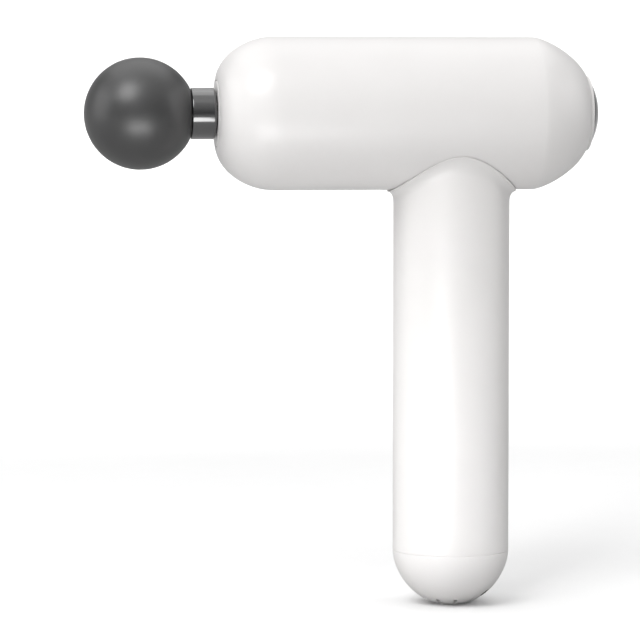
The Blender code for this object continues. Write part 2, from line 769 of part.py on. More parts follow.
def build_charge_port():
    """A round charging jack: a nose in the cap's hole, a wider body and a centre pin."""
    at, facing = port_frame()
    behind_wall = 0.8 * MM
    shoulder = -(HANDLE_WALL + behind_wall)
    pin = 0.5 * MM
    pin_end = -1.2 * MM
    pin_taper = 0.4 * MM
    bore = 1.5 * MM
    face = -0.15 * MM
    lead_in = 0.35 * MM
    floor = 1.5 * MM
    depth = JACK_LENGTH - floor
    profile = [
        (pin_end, 0.0),
        (pin_end, pin * 0.6),
        (pin_end - pin_taper, pin),
        (-depth, pin),
        (-depth, bore),
        (face - lead_in, bore),
        (face, bore + GAP),
        (face, JACK_NOSE),
        (shoulder, JACK_NOSE),
        (shoulder, JACK_BODY),
        (-JACK_LENGTH, JACK_BODY),
        (-JACK_LENGTH, 0.0),
    ]
    port = turned("charge_port", profile, BLACK, HOUSING, at=at, axis="Z", steps=PIN_STEPS)
    port.rotation_euler = facing.to_track_quat("Z", "Y").to_euler()


def build_nose():
    """The white ring round the piston and the wiper seal behind it."""
    front = NOSE_X - NOSE_RING_PROUD
    ring_inner = PISTON_RADIUS + 2 * GAP
    bevel = 0.4 * MM
    rear = NOSE_X + NOSE_RING_DEPTH
    profile = bevelled_ring(front, rear, ring_inner, NOSE_RING_RADIUS, bevel)
    turned("nose_ring", profile, WHITE, HOUSING, steps=WIDE_STEPS)
    seal_front = NOSE_X + NOSE_RING_DEPTH + 2 * GAP
    short = 0.1 * MM
    seal_rear = NOSE_X + NOSE_DEPTH - short
    lip = 0.7 * MM
    seal = [
        (seal_front, SLEEVE_BORE),
        (seal_front, NOSE_BORE - GAP),
        (seal_rear, NOSE_BORE - GAP),
        (seal_rear, SLEEVE_BORE + lip),
        (seal_front + lip, SLEEVE_BORE + lip),
        (seal_front + lip, SLEEVE_BORE),
    ]
    turned("nose_seal", seal, RUBBER, HOUSING, steps=RING_STEPS)


def build_attachment():
    """The ball, the stem that carries it, and the plug's two rings."""
    seat = BALL_SEAT - BALL_X
    flat = math.sqrt(BALL_RADIUS**2 - seat**2)
    limit = math.degrees(math.acos(seat / BALL_RADIUS))
    hole = PLUG_RADIUS + GAP
    ball = [(BALL_X + x, y) for x, y in arc((0, 0), BALL_RADIUS, 180, limit, 12)]
    ball[0] = (ball[0][0], 0.0)
    ball[-1] = (BALL_SEAT, flat)
    ball.append((BALL_SEAT, hole))
    ball.append((BALL_SEAT - PIN_DEPTH - GAP, hole))
    ball.append((BALL_SEAT - PIN_DEPTH - GAP, 0.0))
    turned("ball", ball, GREY, ATTACHMENT, steps=HANDLE_STEPS)
    bevel = 0.6 * MM
    groove = 2 * (O_RING_WIRE + GAP)
    ring_radius = PLUG_RADIUS + O_RING_PROUD - O_RING_WIRE
    floor = ring_radius - O_RING_WIRE - GAP
    grooves = [COLLAR_X + behind for behind in O_RING_PLACES]
    stem = [
        (BALL_SEAT - PIN_DEPTH, 0.0),
        (BALL_SEAT - PIN_DEPTH, PLUG_RADIUS - bevel),
        (BALL_SEAT - PIN_DEPTH + bevel, PLUG_RADIUS),
        (COLLAR_FRONT, PLUG_RADIUS),
        (COLLAR_FRONT, COLLAR_RADIUS - bevel),
        (COLLAR_FRONT + bevel, COLLAR_RADIUS),
        (COLLAR_X - 2 * bevel, COLLAR_RADIUS),
        (COLLAR_X - bevel * 0.6, COLLAR_RADIUS - bevel * 0.6),
        (COLLAR_X, COLLAR_RADIUS - 2 * bevel),
        (COLLAR_X, PLUG_RADIUS),
    ]
    for start in grooves:
        stem.append((start, PLUG_RADIUS))
        stem.append((start, floor))
        stem.append((start + groove, floor))
        stem.append((start + groove, PLUG_RADIUS))
    stem.append((COLLAR_X + PLUG_LENGTH - bevel, PLUG_RADIUS))
    stem.append((COLLAR_X + PLUG_LENGTH, PLUG_RADIUS - bevel))
    stem.append((COLLAR_X + PLUG_LENGTH, 0.0))
    turned("stem", stem, DARK_GLOSS, ATTACHMENT, steps=PIN_STEPS)
    for number, start in enumerate(grooves, 1):
        middle = (start + groove / 2, ring_radius)
        section = circle(middle, O_RING_WIRE, 6)
        turned(f"stem_o_ring_{number}", section, RUBBER, ATTACHMENT, steps=PIN_STEPS)


def build_piston():
    """The piston: a socket for the plug in front and a fork for the rod behind."""
    rear = WRIST_X + PISTON_TAIL
    socket = PLUG_RADIUS + GAP
    socket_end = COLLAR_X + PLUG_LENGTH + 2 * GAP
    bevel = 0.5 * MM
    profile = [
        (socket_end, 0.0),
        (socket_end, socket),
        (PISTON_FACE, socket),
        (PISTON_FACE, PISTON_RADIUS - bevel),
        (PISTON_FACE + bevel, PISTON_RADIUS),
        (rear - bevel, PISTON_RADIUS),
        (rear, PISTON_RADIUS - bevel),
        (rear, 0.0),
    ]
    piston = turned("piston", profile, STEEL, PISTON, steps=RING_STEPS)
    slot_half = ROD_THICK / 2 + 2 * GAP
    swing_room = 2 * MM
    slot_front = WRIST_X - SMALL_END - swing_room
    across = PISTON_RADIUS + BEYOND
    slot = [((slot_front, -across, -slot_half), (rear + BEYOND, across, slot_half))]
    cut(piston, box_cutter("fork_cutter", slot))
    hole = [((WRIST_X, 0, -across), (WRIST_X, 0, across), WRIST_PIN + GAP)]
    cut(piston, cylinder_cutter("wrist_hole_cutter", hole, sides=PIN_STEPS))
    reach = math.sqrt(PISTON_RADIUS**2 - (WRIST_PIN + GAP) ** 2) - 2 * GAP
    turned(
        "wrist_pin",
        bevelled_rod(-reach, reach, WRIST_PIN, 0.3 * MM),
        STEEL,
        PISTON,
        at=WRIST_AT,
        axis="Z",
        steps=PIN_STEPS,
    )


def bevelled_rod(start, end, radius, bevel):
    """The profile of a solid cylinder with bevelled ends."""
    return [
        (start, 0.0),
        (start, radius - bevel),
        (start + bevel, radius),
        (end - bevel, radius),
        (end, radius - bevel),
        (end, 0.0),
    ]


def build_rod():
    """The connecting rod, with the big end's bearing, crank pin and clip on it."""
    small = (WRIST_X, 0)
    big = (THROW, 0)
    neck_small = math.degrees(math.asin(ROD_WIDTH / 2 / SMALL_END))
    neck_big = math.degrees(math.asin(ROD_WIDTH / 2 / BIG_END))
    outline = arc(small, SMALL_END, neck_small, 360 - neck_small, 16)
    outline += arc(big, BIG_END, 180 + neck_big, 540 - neck_big, 24)
    holes = [
        circle(small, WRIST_PIN + GAP, PIN_STEPS),
        circle(big, BIG_BEARING + GAP, RING_STEPS),
    ]
    half = ROD_THICK / 2
    moved = [[(x - WRIST_X, y) for x, y in loop] for loop in [outline] + holes]
    flat_part("conrod", moved, -half, half, ALLOY, ROD, at=WRIST_AT)
    pin_at = WRIST_AT + Vector((ROD_LENGTH, 0, 0))
    bearing_half = 2.5 * MM
    bevel = 0.4 * MM
    bearing = bevelled_ring(-bearing_half, bearing_half, CRANK_PIN + GAP, BIG_BEARING, bevel)
    turned("big_end_bearing", bearing, STEEL, ROD, at=pin_at, axis="Z", steps=RING_STEPS)
    foot = CRANK_TOP + GAP
    foot_thick = 0.7 * MM
    foot_radius = CRANK_PIN + 0.9 * MM
    clip_thick = 0.7 * MM
    groove = CRANK_PIN - 0.6 * MM
    clip_bottom = bearing_half + 2 * GAP
    clip_top = clip_bottom + clip_thick
    end = half + 1.8 * MM
    pin = [
        (foot, 0.0),
        (foot, foot_radius),
        (foot + foot_thick, foot_radius),
        (foot + foot_thick, CRANK_PIN),
        (clip_bottom - GAP, CRANK_PIN),
        (clip_bottom - GAP, groove),
        (clip_top + GAP, groove),
        (clip_top + GAP, CRANK_PIN),
        (end - bevel, CRANK_PIN),
        (end, CRANK_PIN - bevel),
        (end, 0.0),
    ]
    turned("crank_pin", pin, STEEL, ROD, at=pin_at, axis="Z", steps=PIN_STEPS)
    clip_outer = CRANK_PIN + 1.6 * MM
    opening = 40
    clip = arc((0, 0), clip_outer, opening, 360 - opening, 18)
    clip += arc((0, 0), groove + GAP, 350 - opening, opening + 10, 12)
    flat_part("pin_clip", [clip], clip_bottom, clip_top, STEEL, ROD, at=pin_at)


def build_crank():
    """The crank disc, with its heavy side opposite the crank pin."""
    rim = 2.4 * MM  # of metal outside the crank pin
    light = THROW + CRANK_PIN + rim
    step = CRANK_STEP_ANGLE
    outline = arc((0, 0), CRANK_RADIUS, 90 + step, 270 - step, 22)
    outline += arc((0, 0), light, 270 + step, 450 - step, 16)
    hole = circle((0, 0), SHAFT_RADIUS + GAP, PIN_STEPS)
    flat_part("crank_disc", [outline, hole], CRANK_BOTTOM, CRANK_TOP, STEEL, ROTOR)


def build_frame():
    """The metal frame: a plate over the motor, a bulkhead that holds the sleeve."""
    from_shell = 2.6 * MM
    half = math.sqrt(HEAD_BORE**2 - PLATE_BOTTOM**2) - from_shell
    narrow = half * 0.6
    wider = narrow + 2 * MM
    front = BULKHEAD_X
    wide_end = NECK_RADIUS - 4 * MM
    front_taper = 10 * MM
    rear_taper = 8 * MM
    outline = [
        (front - OVERLAP, -wider),
        (-wide_end - front_taper, -wider),
        (-wide_end, -half),
        (wide_end, -half),
        (wide_end + rear_taper, -narrow),
        (PLATE_REAR, -narrow),
        (PLATE_REAR, narrow),
        (wide_end + rear_taper, narrow),
        (wide_end, half),
        (-wide_end, half),
        (-wide_end - front_taper, wider),
        (front - OVERLAP, wider),
    ]
    window_front = LEAD_X - LEAD_RADIUS - 1.2 * MM
    window_rear = LEAD_X + LEAD_RADIUS + 1.6 * MM
    window = [
        (window_front, -WINDOW_HALF),
        (window_rear, -WINDOW_HALF),
        (window_rear, WINDOW_HALF),
        (window_front, WINDOW_HALF),
    ]
    shaft_hole = SHAFT_RADIUS + 2 * MM
    loops = [outline, circle((0, 0), shaft_hole, PIN_STEPS), window]
    for screw_at in neck_screw_places() + MOTOR_SCREWS:
        loops.append(circle(screw_at, NECK_SCREW + GAP, SCREW_STEPS))
    frame = flat_part("drive_frame", loops, PLATE_BOTTOM, PLATE_TOP, ALLOY, HOUSING)
    bulkhead = turned_cutter(
        "bulkhead",
        ring(front - BULKHEAD_THICK, front, SLEEVE_RADIUS + GAP, BULKHEAD_RADIUS),
        steps=WIDE_STEPS,
    )
    join(frame, bulkhead)
    rib_half = 1 * MM
    rib_length = 9 * MM
    rib_height = 6 * MM
    for number, y in enumerate((rib_half - narrow, narrow - rib_half), 1):
        rib_low = (front - OVERLAP, y - rib_half, PLATE_TOP - OVERLAP)
        rib_high = (front + rib_length, y + rib_half, PLATE_TOP + rib_height)
        join(frame, box_cutter(f"frame_rib_{number}", [(rib_low, rib_high)]))
    sleeve_room = SLEEVE_RADIUS + BOSS_SHORT
    groove = rod(front - OVERLAP - PAST, SLEEVE_REAR + PAST, sleeve_room)
    cut(frame, turned_cutter("sleeve_groove", groove, steps=RING_STEPS))
    post_radius = 2 * MM
    post_x = PLATE_REAR - 2 * post_radius
    for number, y in enumerate((3 * MM - narrow, narrow - 3 * MM), 1):
        foot = (post_x, y, PLATE_TOP - OVERLAP)
        top = (post_x, y, BOARD_BOTTOM - GAP)
        join(frame, cylinder_cutter(f"board_post_{number}", [(foot, top, post_radius)]))


def build_frame_fittings():
    """The sleeve, the rubber dampers and the screws that hold frame and motor."""
    flange_size = 2 * MM
    flange = SLEEVE_RADIUS + flange_size
    flange_rear = BULKHEAD_X - BULKHEAD_THICK - GAP
    flange_front = flange_rear - flange_size
    bevel = 0.5 * MM
    sleeve = [
        (SLEEVE_FRONT, SLEEVE_BORE),
        (SLEEVE_FRONT, SLEEVE_RADIUS - bevel),
        (SLEEVE_FRONT + bevel, SLEEVE_RADIUS),
        (flange_front, SLEEVE_RADIUS),
        (flange_front, flange),
        (flange_rear, flange),
        (flange_rear, SLEEVE_RADIUS),
        (SLEEVE_REAR, SLEEVE_RADIUS),
        (SLEEVE_REAR, SLEEVE_BORE),
    ]
    turned("piston_sleeve", sleeve, NYLON, HOUSING, steps=RING_STEPS)
    damper_proud = 0.8 * MM
    damper = ring(
        BULKHEAD_X - BULKHEAD_THICK - damper_proud,
        BULKHEAD_X + damper_proud,
        BULKHEAD_RADIUS + GAP,
        HEAD_BORE - GAP,
    )
    turned("front_damper", damper, RUBBER, HOUSING, steps=HEAD_STEPS)
    damper_radius = 3.0 * MM
    from_end = 1.5 * MM
    damper_x = PLATE_REAR - damper_radius - from_end
    front_part, rear_part = head_outline()
    inside = inset(front_part + rear_part, HEAD_WALL)
    floor = -(radius_at(inside, damper_x + damper_radius) - 2 * GAP)
    turned(
        "rear_damper",
        bevelled_rod(floor, PLATE_BOTTOM - GAP, damper_radius, bevel),
        RUBBER,
        HOUSING,
        at=HEAD_AT + Vector((damper_x, 0, 0)),
        axis="Z",
        steps=PIN_STEPS,
    )
    neck_length = 12.0 * MM
    motor_length = PLATE_THICK + GAP + BASE_THICK - 0.4 * MM
    for number, (x, y) in enumerate(neck_screw_places(), 1):
        plate_screw(f"neck_screw_{number}", x, y, neck_length)
    for number, (x, y) in enumerate(MOTOR_SCREWS, 1):
        plate_screw(f"motor_screw_{number}", x, y, motor_length)


def plate_screw(name, x, y, length):
    """A low-head screw that goes down through the frame's plate."""
    seat = PLATE_TOP + GAP
    head = 1.3 * MM
    shoulder = seat + head * 0.6
    crown = NECK_SCREW_HEAD * 0.75
    profile = [
        (seat - length - GAP, 0.0),
        (seat - length - GAP, NECK_SCREW),
        (seat, NECK_SCREW),
        (seat, NECK_SCREW_HEAD),
        (shoulder, NECK_SCREW_HEAD),
        (seat + head, crown),
        (seat + head, 0.0),
    ]
    at = HEAD_AT + Vector((x, y, 0))
    turned(name, profile, STEEL, HOUSING, at=at, axis="Z", steps=SCREW_STEPS)


def build_motor():
    """The outrunner motor under the plate: fixed base and stator, turning bell."""
    base_bottom = BASE_TOP - BASE_THICK
    inside_bell = 1 * MM
    base_radius = BELL_RADIUS - inside_bell
    base = [
        (BASE_TOP, BASE_TUBE),
        (BASE_TOP, base_radius),
        (base_bottom, base_radius),
        (base_bottom, BASE_TUBE_OUTER),
        (BASE_TUBE_BOTTOM, BASE_TUBE_OUTER),
        (BASE_TUBE_BOTTOM, BASE_TUBE),
    ]
    motor_base = turned("motor_base", base, ALLOY, HOUSING, axis="Z", steps=RING_STEPS)
    holes = [
        ((x, y, base_bottom - PAST), (x, y, BASE_TOP + PAST), NECK_SCREW + GAP)
        for x, y in MOTOR_SCREWS
    ]
    cut(motor_base, cylinder_cutter("motor_base_holes", holes, sides=SCREW_STEPS))
    yoke = STATOR_INNER + 1.1 * MM
    tip = STATOR_OUTER - 1.3 * MM
    neck_half = 1.1 * MM
    pitch = 360 / TEETH
    yoke_angle = math.degrees(math.asin(neck_half / yoke))
    neck_angle = math.degrees(math.asin(neck_half / tip))
    tip_angle = 0.4 * pitch
    outline = []
    for number in range(TEETH):
        turn = pitch * number
        outline += arc((0, 0), yoke, turn - pitch / 2, turn - yoke_angle, 1)
        outline += arc((0, 0), tip, turn - neck_angle, turn - tip_angle, 1)
        outline += arc((0, 0), STATOR_OUTER, turn - tip_angle, turn + tip_angle, 3)
        outline += arc((0, 0), tip, turn + tip_angle, turn + neck_angle, 1)
        foot = math.radians(turn + yoke_angle)
        outline.append((yoke * math.cos(foot), yoke * math.sin(foot)))
    bore = circle((0, 0), STATOR_INNER, 3 * TEETH)
    flat_part("stator_core", [outline, bore], STATOR_BOTTOM, STATOR_TOP, STEEL, HOUSING)
    winding = ring(
        STATOR_BOTTOM - WINDING_OVER,
        STATOR_TOP + WINDING_OVER,
        yoke + GAP,
        tip - GAP,
    )
    coils = turned("stator_winding", winding, COPPER, HOUSING, axis="Z", steps=WIDE_STEPS)
    slots = bmesh.new()
    for number in range(TEETH):
        turn = Matrix.Rotation(2 * math.pi * number / TEETH, 4, "Z")
        reach = STATOR_OUTER - STATOR_INNER
        half_way = (STATOR_INNER + STATOR_OUTER) / 2
        middle = Matrix.Translation((half_way, 0, (STATOR_TOP + STATOR_BOTTOM) / 2))
        size = Matrix.Diagonal((reach, 2 * (neck_half + GAP), STATOR_HEIGHT + 2 * GAP, 1))
        bmesh.ops.create_cube(slots, size=1, matrix=turn @ middle @ size)
    mesh = bpy.data.meshes.new("tooth_cutter")
    slots.to_mesh(mesh)
    slots.free()
    cut(coils, place_cutter(bpy.data.objects.new("tooth_cutter", mesh), HEAD_AT))
    upper_sunk = 0.6 * MM
    lower_sunk = 0.4 * MM
    tops = {
        "bearing_upper": BASE_TOP - upper_sunk,
        "bearing_lower": BASE_TUBE_BOTTOM + BEARING_WIDTH + lower_sunk,
    }
    bevel = 0.3 * MM
    for name, top in tops.items():
        bottom = top - BEARING_WIDTH
        race = bevelled_ring(bottom, top, SHAFT_RADIUS + GAP, BEARING_RADIUS, bevel)
        turned(name, race, STEEL, HOUSING, axis="Z", steps=PIN_STEPS)
    build_rotor()


def build_rotor():
    """The bell, its magnets and the shaft that runs up to the crank."""
    hub = SHAFT_RADIUS + 2.5 * MM
    corner = 1 * MM
    bell = [
        (BELL_TOP, BELL_INNER),
        (BELL_TOP, BELL_RADIUS),
        (BELL_BOTTOM + corner, BELL_RADIUS),
        (BELL_BOTTOM, BELL_RADIUS - corner),
        (BELL_BOTTOM, hub),
        (BELL_BOTTOM - HUB_DROP, hub),
        (BELL_BOTTOM - HUB_DROP, SHAFT_RADIUS + GAP),
        (BELL_FLOOR_TOP, SHAFT_RADIUS + GAP),
        (BELL_FLOOR_TOP, BELL_INNER),
    ]
    rotor_bell = turned("rotor_bell", bell, ALLOY, ROTOR, axis="Z", steps=RING_STEPS)
    vents = []
    vent_radius = 2.8 * MM
    vent_ring = (hub + BELL_INNER) / 2
    for turn in (45, 135, 225, 315):
        x = vent_ring * math.cos(math.radians(turn))
        y = vent_ring * math.sin(math.radians(turn))
        low = (x, y, BELL_BOTTOM - 2 * PAST)
        high = (x, y, BELL_FLOOR_TOP + 2 * PAST)
        vents.append((low, high, vent_radius))
    cut(rotor_bell, cylinder_cutter("bell_vents", vents, sides=PIN_STEPS))
    longer = 0.6 * MM
    magnets = ring(
        STATOR_BOTTOM - longer,
        STATOR_TOP + longer,
        MAGNET_INNER,
        MAGNET_INNER + MAGNET_THICK,
    )
    turned("magnet_ring", magnets, STEEL, ROTOR, axis="Z", steps=WIDE_STEPS)
    shaft_foot = BELL_BOTTOM - HUB_DROP + 0.2 * MM
    shaft_top = CRANK_TOP - 0.4 * MM
    shaft = bevelled_rod(shaft_foot, shaft_top, SHAFT_RADIUS, 0.3 * MM)
    turned("motor_shaft", shaft, STEEL, ROTOR, axis="Z", steps=PIN_STEPS)


def build_battery():
    """Two layers of three cells between moulded holders."""
    nub = 2.8 * MM
    nub_height = 0.9 * MM
    bevel = 0.5 * MM
    top = CELL_LENGTH - nub_height
    profile = [
        (0.0, 0.0),
        (0.0, CELL_RADIUS - bevel),
        (bevel, CELL_RADIUS),
        (top - bevel, CELL_RADIUS),
        (top, CELL_RADIUS - bevel),
        (top, nub),
        (CELL_LENGTH, nub),
        (CELL_LENGTH, 0.0),
    ]
    number = 0
    for layer in range(2):
        for angle in CELL_ANGLES:
            number += 1
            x = CELL_RING * math.cos(angle)
            y = CELL_RING * math.sin(angle)
            at = Vector((x, y, CELL_FOOT + layer * CELL_LAYER))
            name = f"cell_{number}"
            turned(name, profile, CELL_BLUE, HOUSING, at=at, axis="Z", steps=CELL_STEPS)
    rim = 0.1 * MM
    holder_radius = CELL_RING + CELL_RADIUS + rim
    levels = {
        "cell_holder_lower": (HOLDER_BOTTOM, HOLDER_BOTTOM + HOLDER_DEPTH),
        "cell_spacer": (CELL_FOOT + CELL_LENGTH + GAP, CELL_FOOT + CELL_LAYER - GAP),
        "cell_holder_upper": (CELL_TOP - HOLDER_DEPTH, CELL_TOP + GAP + HOLDER_FLOOR),
    }
    notch_half = LEAD_RADIUS + 1 * MM
    notch_low = (LEAD_X - notch_half, -notch_half, CAP_HEIGHT)
    notch_high = (HANDLE_RADIUS, notch_half, CELL_TOP + BEYOND)
    notch_cutter = box_cutter("lead_notch_cutter", [(notch_low, notch_high)], at=ROOT_AT)
    pocket_cutters = []
    for number, angle in enumerate(CELL_ANGLES, 1):
        x = CELL_RING * math.cos(angle)
        y = CELL_RING * math.sin(angle)
        pockets = []
        for layer in range(2):
            low = CELL_FOOT + layer * CELL_LAYER - GAP
            high = low + CELL_LENGTH + 2 * GAP
            pockets.append(((x, y, low), (x, y, high), CELL_RADIUS + GAP))
        name = f"cell_pockets_{number}"
        pocket_cutters.append(cylinder_cutter(name, pockets, at=ROOT_AT, sides=CELL_STEPS))
    for name, (bottom, top) in levels.items():
        shape = rod(bottom, top, holder_radius)
        disc = turned(name, shape, NYLON, HOUSING, at=ROOT_AT, axis="Z", steps=WIDE_STEPS)
        if name != "cell_spacer":
            for pocket_cutter in pocket_cutters:
                cut(disc, pocket_cutter)
        cut(disc, notch_cutter)


def build_boards():
    """The driver board, the panel's board and the charging board."""
    rear = BOARD_FRONT + BOARD_LENGTH
    top = BOARD_BOTTOM + BOARD_THICK
    outline = [
        (BOARD_FRONT, -BOARD_HALF),
        (rear, -BOARD_HALF),
        (rear, BOARD_HALF),
        (BOARD_FRONT, BOARD_HALF),
    ]
    board = flat_part("driver_board", [outline], BOARD_BOTTOM, top, GREEN, HOUSING)
    socket_half = 1.4 * MM
    for number, y in enumerate((-LEAD_STEP, 0, LEAD_STEP), 1):
        low = (BOARD_FRONT + 1 * MM, y - socket_half, BOARD_BOTTOM - SOCKET_HEIGHT)
        high = (BOARD_FRONT + 6 * MM, y + socket_half, BOARD_BOTTOM + OVERLAP)
        join(board, box_cutter(f"board_socket_{number}", [(low, high)]))
    switch_size = Vector((4 * MM, 5 * MM, 1.5 * MM + OVERLAP))
    for number in range(6):
        x = BOARD_FRONT + 3 * MM + 5.4 * MM * (number % 3)
        y = -8 * MM if number < 3 else 3 * MM
        low = Vector((x, y, top - OVERLAP))
        join(board, box_cutter(f"board_switch_{number + 1}", [(low, low + switch_size)]))
    can_radius = 3 * MM
    can_foot = Vector((rear - 5 * MM, 11.4 * MM, top - OVERLAP))
    can_top = can_foot + Vector((0, 0, 8 * MM + OVERLAP))
    join(board, cylinder_cutter("board_capacitor", [(can_foot, can_top, can_radius)]))
    front = REAR_X - PANEL_BOARD_DEPTH
    back = front + PANEL_BOARD_THICK
    clear = 0.2 * MM
    shape = rod(front, back, PANEL_RADIUS - clear)
    panel_board = turned("control_board", shape, GREEN, HOUSING)
    switch_half = 2.5 * MM
    switch = (
        (back - OVERLAP, -switch_half, -switch_half),
        (front + SWITCH_TOP, switch_half, switch_half),
    )
    socket = (
        (front - PANEL_SOCKET_DEPTH, -4 * MM, -8 * MM),
        (front + OVERLAP, 4 * MM, -4.5 * MM),
    )
    join(panel_board, box_cutter("panel_switch", [switch]))
    join(panel_board, box_cutter("panel_socket", [socket]))
    bottom = CAP_LEDGE_HEIGHT + GAP
    charge_radius = HANDLE_BORE - SPIGOT_WALL - 3 * GAP
    charge_board = turned(
        "charge_board",
        rod(bottom, bottom + CHARGE_BOARD_THICK, charge_radius),
        GREEN,
        HOUSING,
        at=ROOT_AT,
        axis="Z",
        steps=RING_STEPS,
    )
    sunk = bottom + 1.0 * MM
    chip = ((-4 * MM, -4 * MM, sunk), (4 * MM, 4 * MM, bottom + 2.6 * MM))
    plug_front = LEAD_X - 7 * MM
    plug_rear = LEAD_X - PLUG_FROM_LEAD
    plug = ((plug_front, -3 * MM, sunk), (plug_rear, 3 * MM, bottom + 4.2 * MM))
    join(charge_board, box_cutter("charge_chip", [chip], at=ROOT_AT))
    join(charge_board, box_cutter("charge_socket", [plug], at=ROOT_AT))


def build_leads():
    """Four fixed wire looms, each held along its whole length inside the gun."""
    socket_x = BOARD_FRONT + 1 * MM - GAP
    level = HEAD_HEIGHT + BOARD_BOTTOM - SOCKET_HEIGHT / 2
    above = CELL_TOP + GAP + HOLDER_FLOOR + GAP + LEAD_RADIUS
    rise = [(LEAD_X, level), (socket_x, level)]
    battery = [(LEAD_X - 3 * MM, -LEAD_STEP, above), (LEAD_X, -LEAD_STEP, above)]
    battery += [(x, -LEAD_STEP, z) for x, z in rise]
    lead("battery_lead", battery, LEAD_RADIUS, RED, HOUSING)
    inside_bell = 1 * MM
    start = BELL_RADIUS - inside_bell + GAP
    middle = HEAD_HEIGHT + BASE_TOP - BASE_THICK / 2
    motor = [(start, LEAD_STEP, middle), (LEAD_X, LEAD_STEP, middle)]
    motor += [(x, LEAD_STEP, z) for x, z in rise]
    lead("motor_lead", motor, LEAD_RADIUS, YELLOW, HOUSING)
    above_ledge = 3.4 * MM
    foot = CAP_LEDGE_HEIGHT + GAP + above_ledge
    charge = [(LEAD_X - PLUG_FROM_LEAD + GAP, 0, foot), (LEAD_X, 0, foot)]
    charge += [(x, 0, z) for x, z in rise]
    lead("charge_lead", charge, LEAD_RADIUS, BLACK, HOUSING)
    panel_x = REAR_X - PANEL_BOARD_DEPTH - PANEL_SOCKET_DEPTH - GAP
    rear = BOARD_FRONT + BOARD_LENGTH + GAP
    board_level = HEAD_HEIGHT + BOARD_BOTTOM + BOARD_THICK / 2
    sag = 0.4 * MM
    socket_level = HEAD_HEIGHT - 6.2 * MM
    panel = [
        (rear, 0, board_level),
        ((rear + panel_x) / 2, 0, board_level - sag),
        (panel_x, 0, socket_level),
    ]
    lead("panel_lead", panel, LEAD_RADIUS, BLACK, HOUSING)


def build_panel():
    """The rear panel: bezel, domed lens, light ring and the button in the middle."""
    bezel_outer = REAR_HOLE - GAP
    bezel_inner = PANEL_RADIUS + GAP
    rear = REAR_X + BEZEL_PROUD
    front = REAR_X - BEZEL_DEPTH
    floor = front + 1.0 * MM
    ledge = PANEL_RADIUS - BEZEL_LEDGE
    bevel = 0.5 * MM
    bezel = [
        (front, ledge),
        (front, bezel_outer),
        (rear - bevel, bezel_outer),
        (rear, bezel_outer - bevel),
        (rear, bezel_inner),
        (floor, bezel_inner),
        (floor, ledge),
    ]
    turned("rear_bezel", bezel, WHITE, HOUSING, steps=WIDE_STEPS)
    lens_inner = LIGHT_OUTER + GAP
    outer = [dome_point(lens_inner + (PANEL_RADIUS - lens_inner) * s / 4) for s in range(5)]
    rim_height = 1.4 * MM
    rim_width = 1.2 * MM
    lens_thick = 1.8 * MM
    back = REAR_X + PANEL_EDGE - rim_height
    lens = outer + [(back, PANEL_RADIUS), (back, PANEL_RADIUS - rim_width)]
    lens.append((dome_point(lens_inner)[0] - lens_thick, lens_inner))
    turned("panel_lens", lens, DARK_GLOSS, HOUSING, steps=WIDE_STEPS)
    light_back = REAR_X + 0.6 * MM
    light = [dome_point(LIGHT_INNER), dome_point(LIGHT_OUTER)]
    light += [(light_back, LIGHT_OUTER), (light_back, LIGHT_INNER)]
    turned("light_ring", light, CLEAR, HOUSING, steps=WIDE_STEPS)
    dish = 0.25 * MM
    top = dome_point(0.0)[0] - 2 * dish
    stem_end = REAR_X - PANEL_BOARD_DEPTH + SWITCH_TOP + BUTTON_TRAVEL + GAP
    skirt = REAR_X + 1.4 * MM
    edge = dome_point(BUTTON_RADIUS)[0]
    corner = 0.35 * MM
    sunk = 0.05 * MM
    button = [
        (stem_end, 0.0),
        (stem_end, BUTTON_STEM),
        (skirt, BUTTON_STEM),
        (skirt, BUTTON_RADIUS),
        (edge - corner - sunk, BUTTON_RADIUS),
        (edge - sunk, BUTTON_RADIUS - corner),
        (top + dish, BUTTON_RADIUS * 0.6),
        (top, 0.0),
    ]
    turned("power_button", button, BLACK, BUTTON, steps=RING_STEPS)


def dome_point(radius):
    """(x, radius) of the panel's dome at this radius."""
    rise = PANEL_PROUD - PANEL_EDGE
    ball = (PANEL_RADIUS**2 + rise**2) / (2 * rise)
    return (REAR_X + PANEL_PROUD - ball + math.sqrt(ball**2 - radius**2), radius)


clear_scene()
PARTS = new_collection("massage_gun")
CUTTERS = new_collection("cutters")
HOUSING = new_empty("housing_frame", ROOT_AT)
ROTOR = new_empty("rotor_axis", HEAD_AT)
PISTON = new_empty("piston_axis", HEAD_AT)
ROD = new_empty("wrist_pin_axis", WRIST_AT)
ATTACHMENT = new_empty("attachment_axis", HEAD_AT)
BUTTON = new_empty("button_axis", HEAD_AT)
WHITE = new_material("white_gloss_plastic", (0.85, 0.84, 0.83), 0.3)
GREY = new_material("grey_soft_plastic", (0.09, 0.09, 0.09), 0.5)
DARK_GLOSS = new_material("dark_gloss_plastic", (0.06, 0.06, 0.06), 0.2)
BLACK = new_material("black_plastic", (0.02, 0.02, 0.02), 0.45)
CLEAR = new_material("light_diffuser", (0.75, 0.78, 0.8), 0.4)
RUBBER = new_material("black_rubber", (0.03, 0.03, 0.03), 0.8)
NYLON = new_material("nylon", (0.75, 0.73, 0.68), 0.5)
STEEL = new_material("steel", (0.55, 0.56, 0.58), 0.3, 1.0)
ALLOY = new_material("cast_alloy", (0.62, 0.63, 0.65), 0.45, 1.0)
COPPER = new_material("enamelled_copper", (0.6, 0.25, 0.1), 0.35, 1.0)
GREEN = new_material("circuit_board", (0.03, 0.2, 0.08), 0.5)
CELL_BLUE = new_material("cell_wrap", (0.08, 0.2, 0.42), 0.4)
RED = new_material("red_wire", (0.5, 0.03, 0.03), 0.5)
YELLOW = new_material("yellow_wire", (0.6, 0.45, 0.05), 0.5)
build_head_shells()
build_shell_screws()
build_handle()
build_bottom_cap()
build_charge_port()
build_nose()
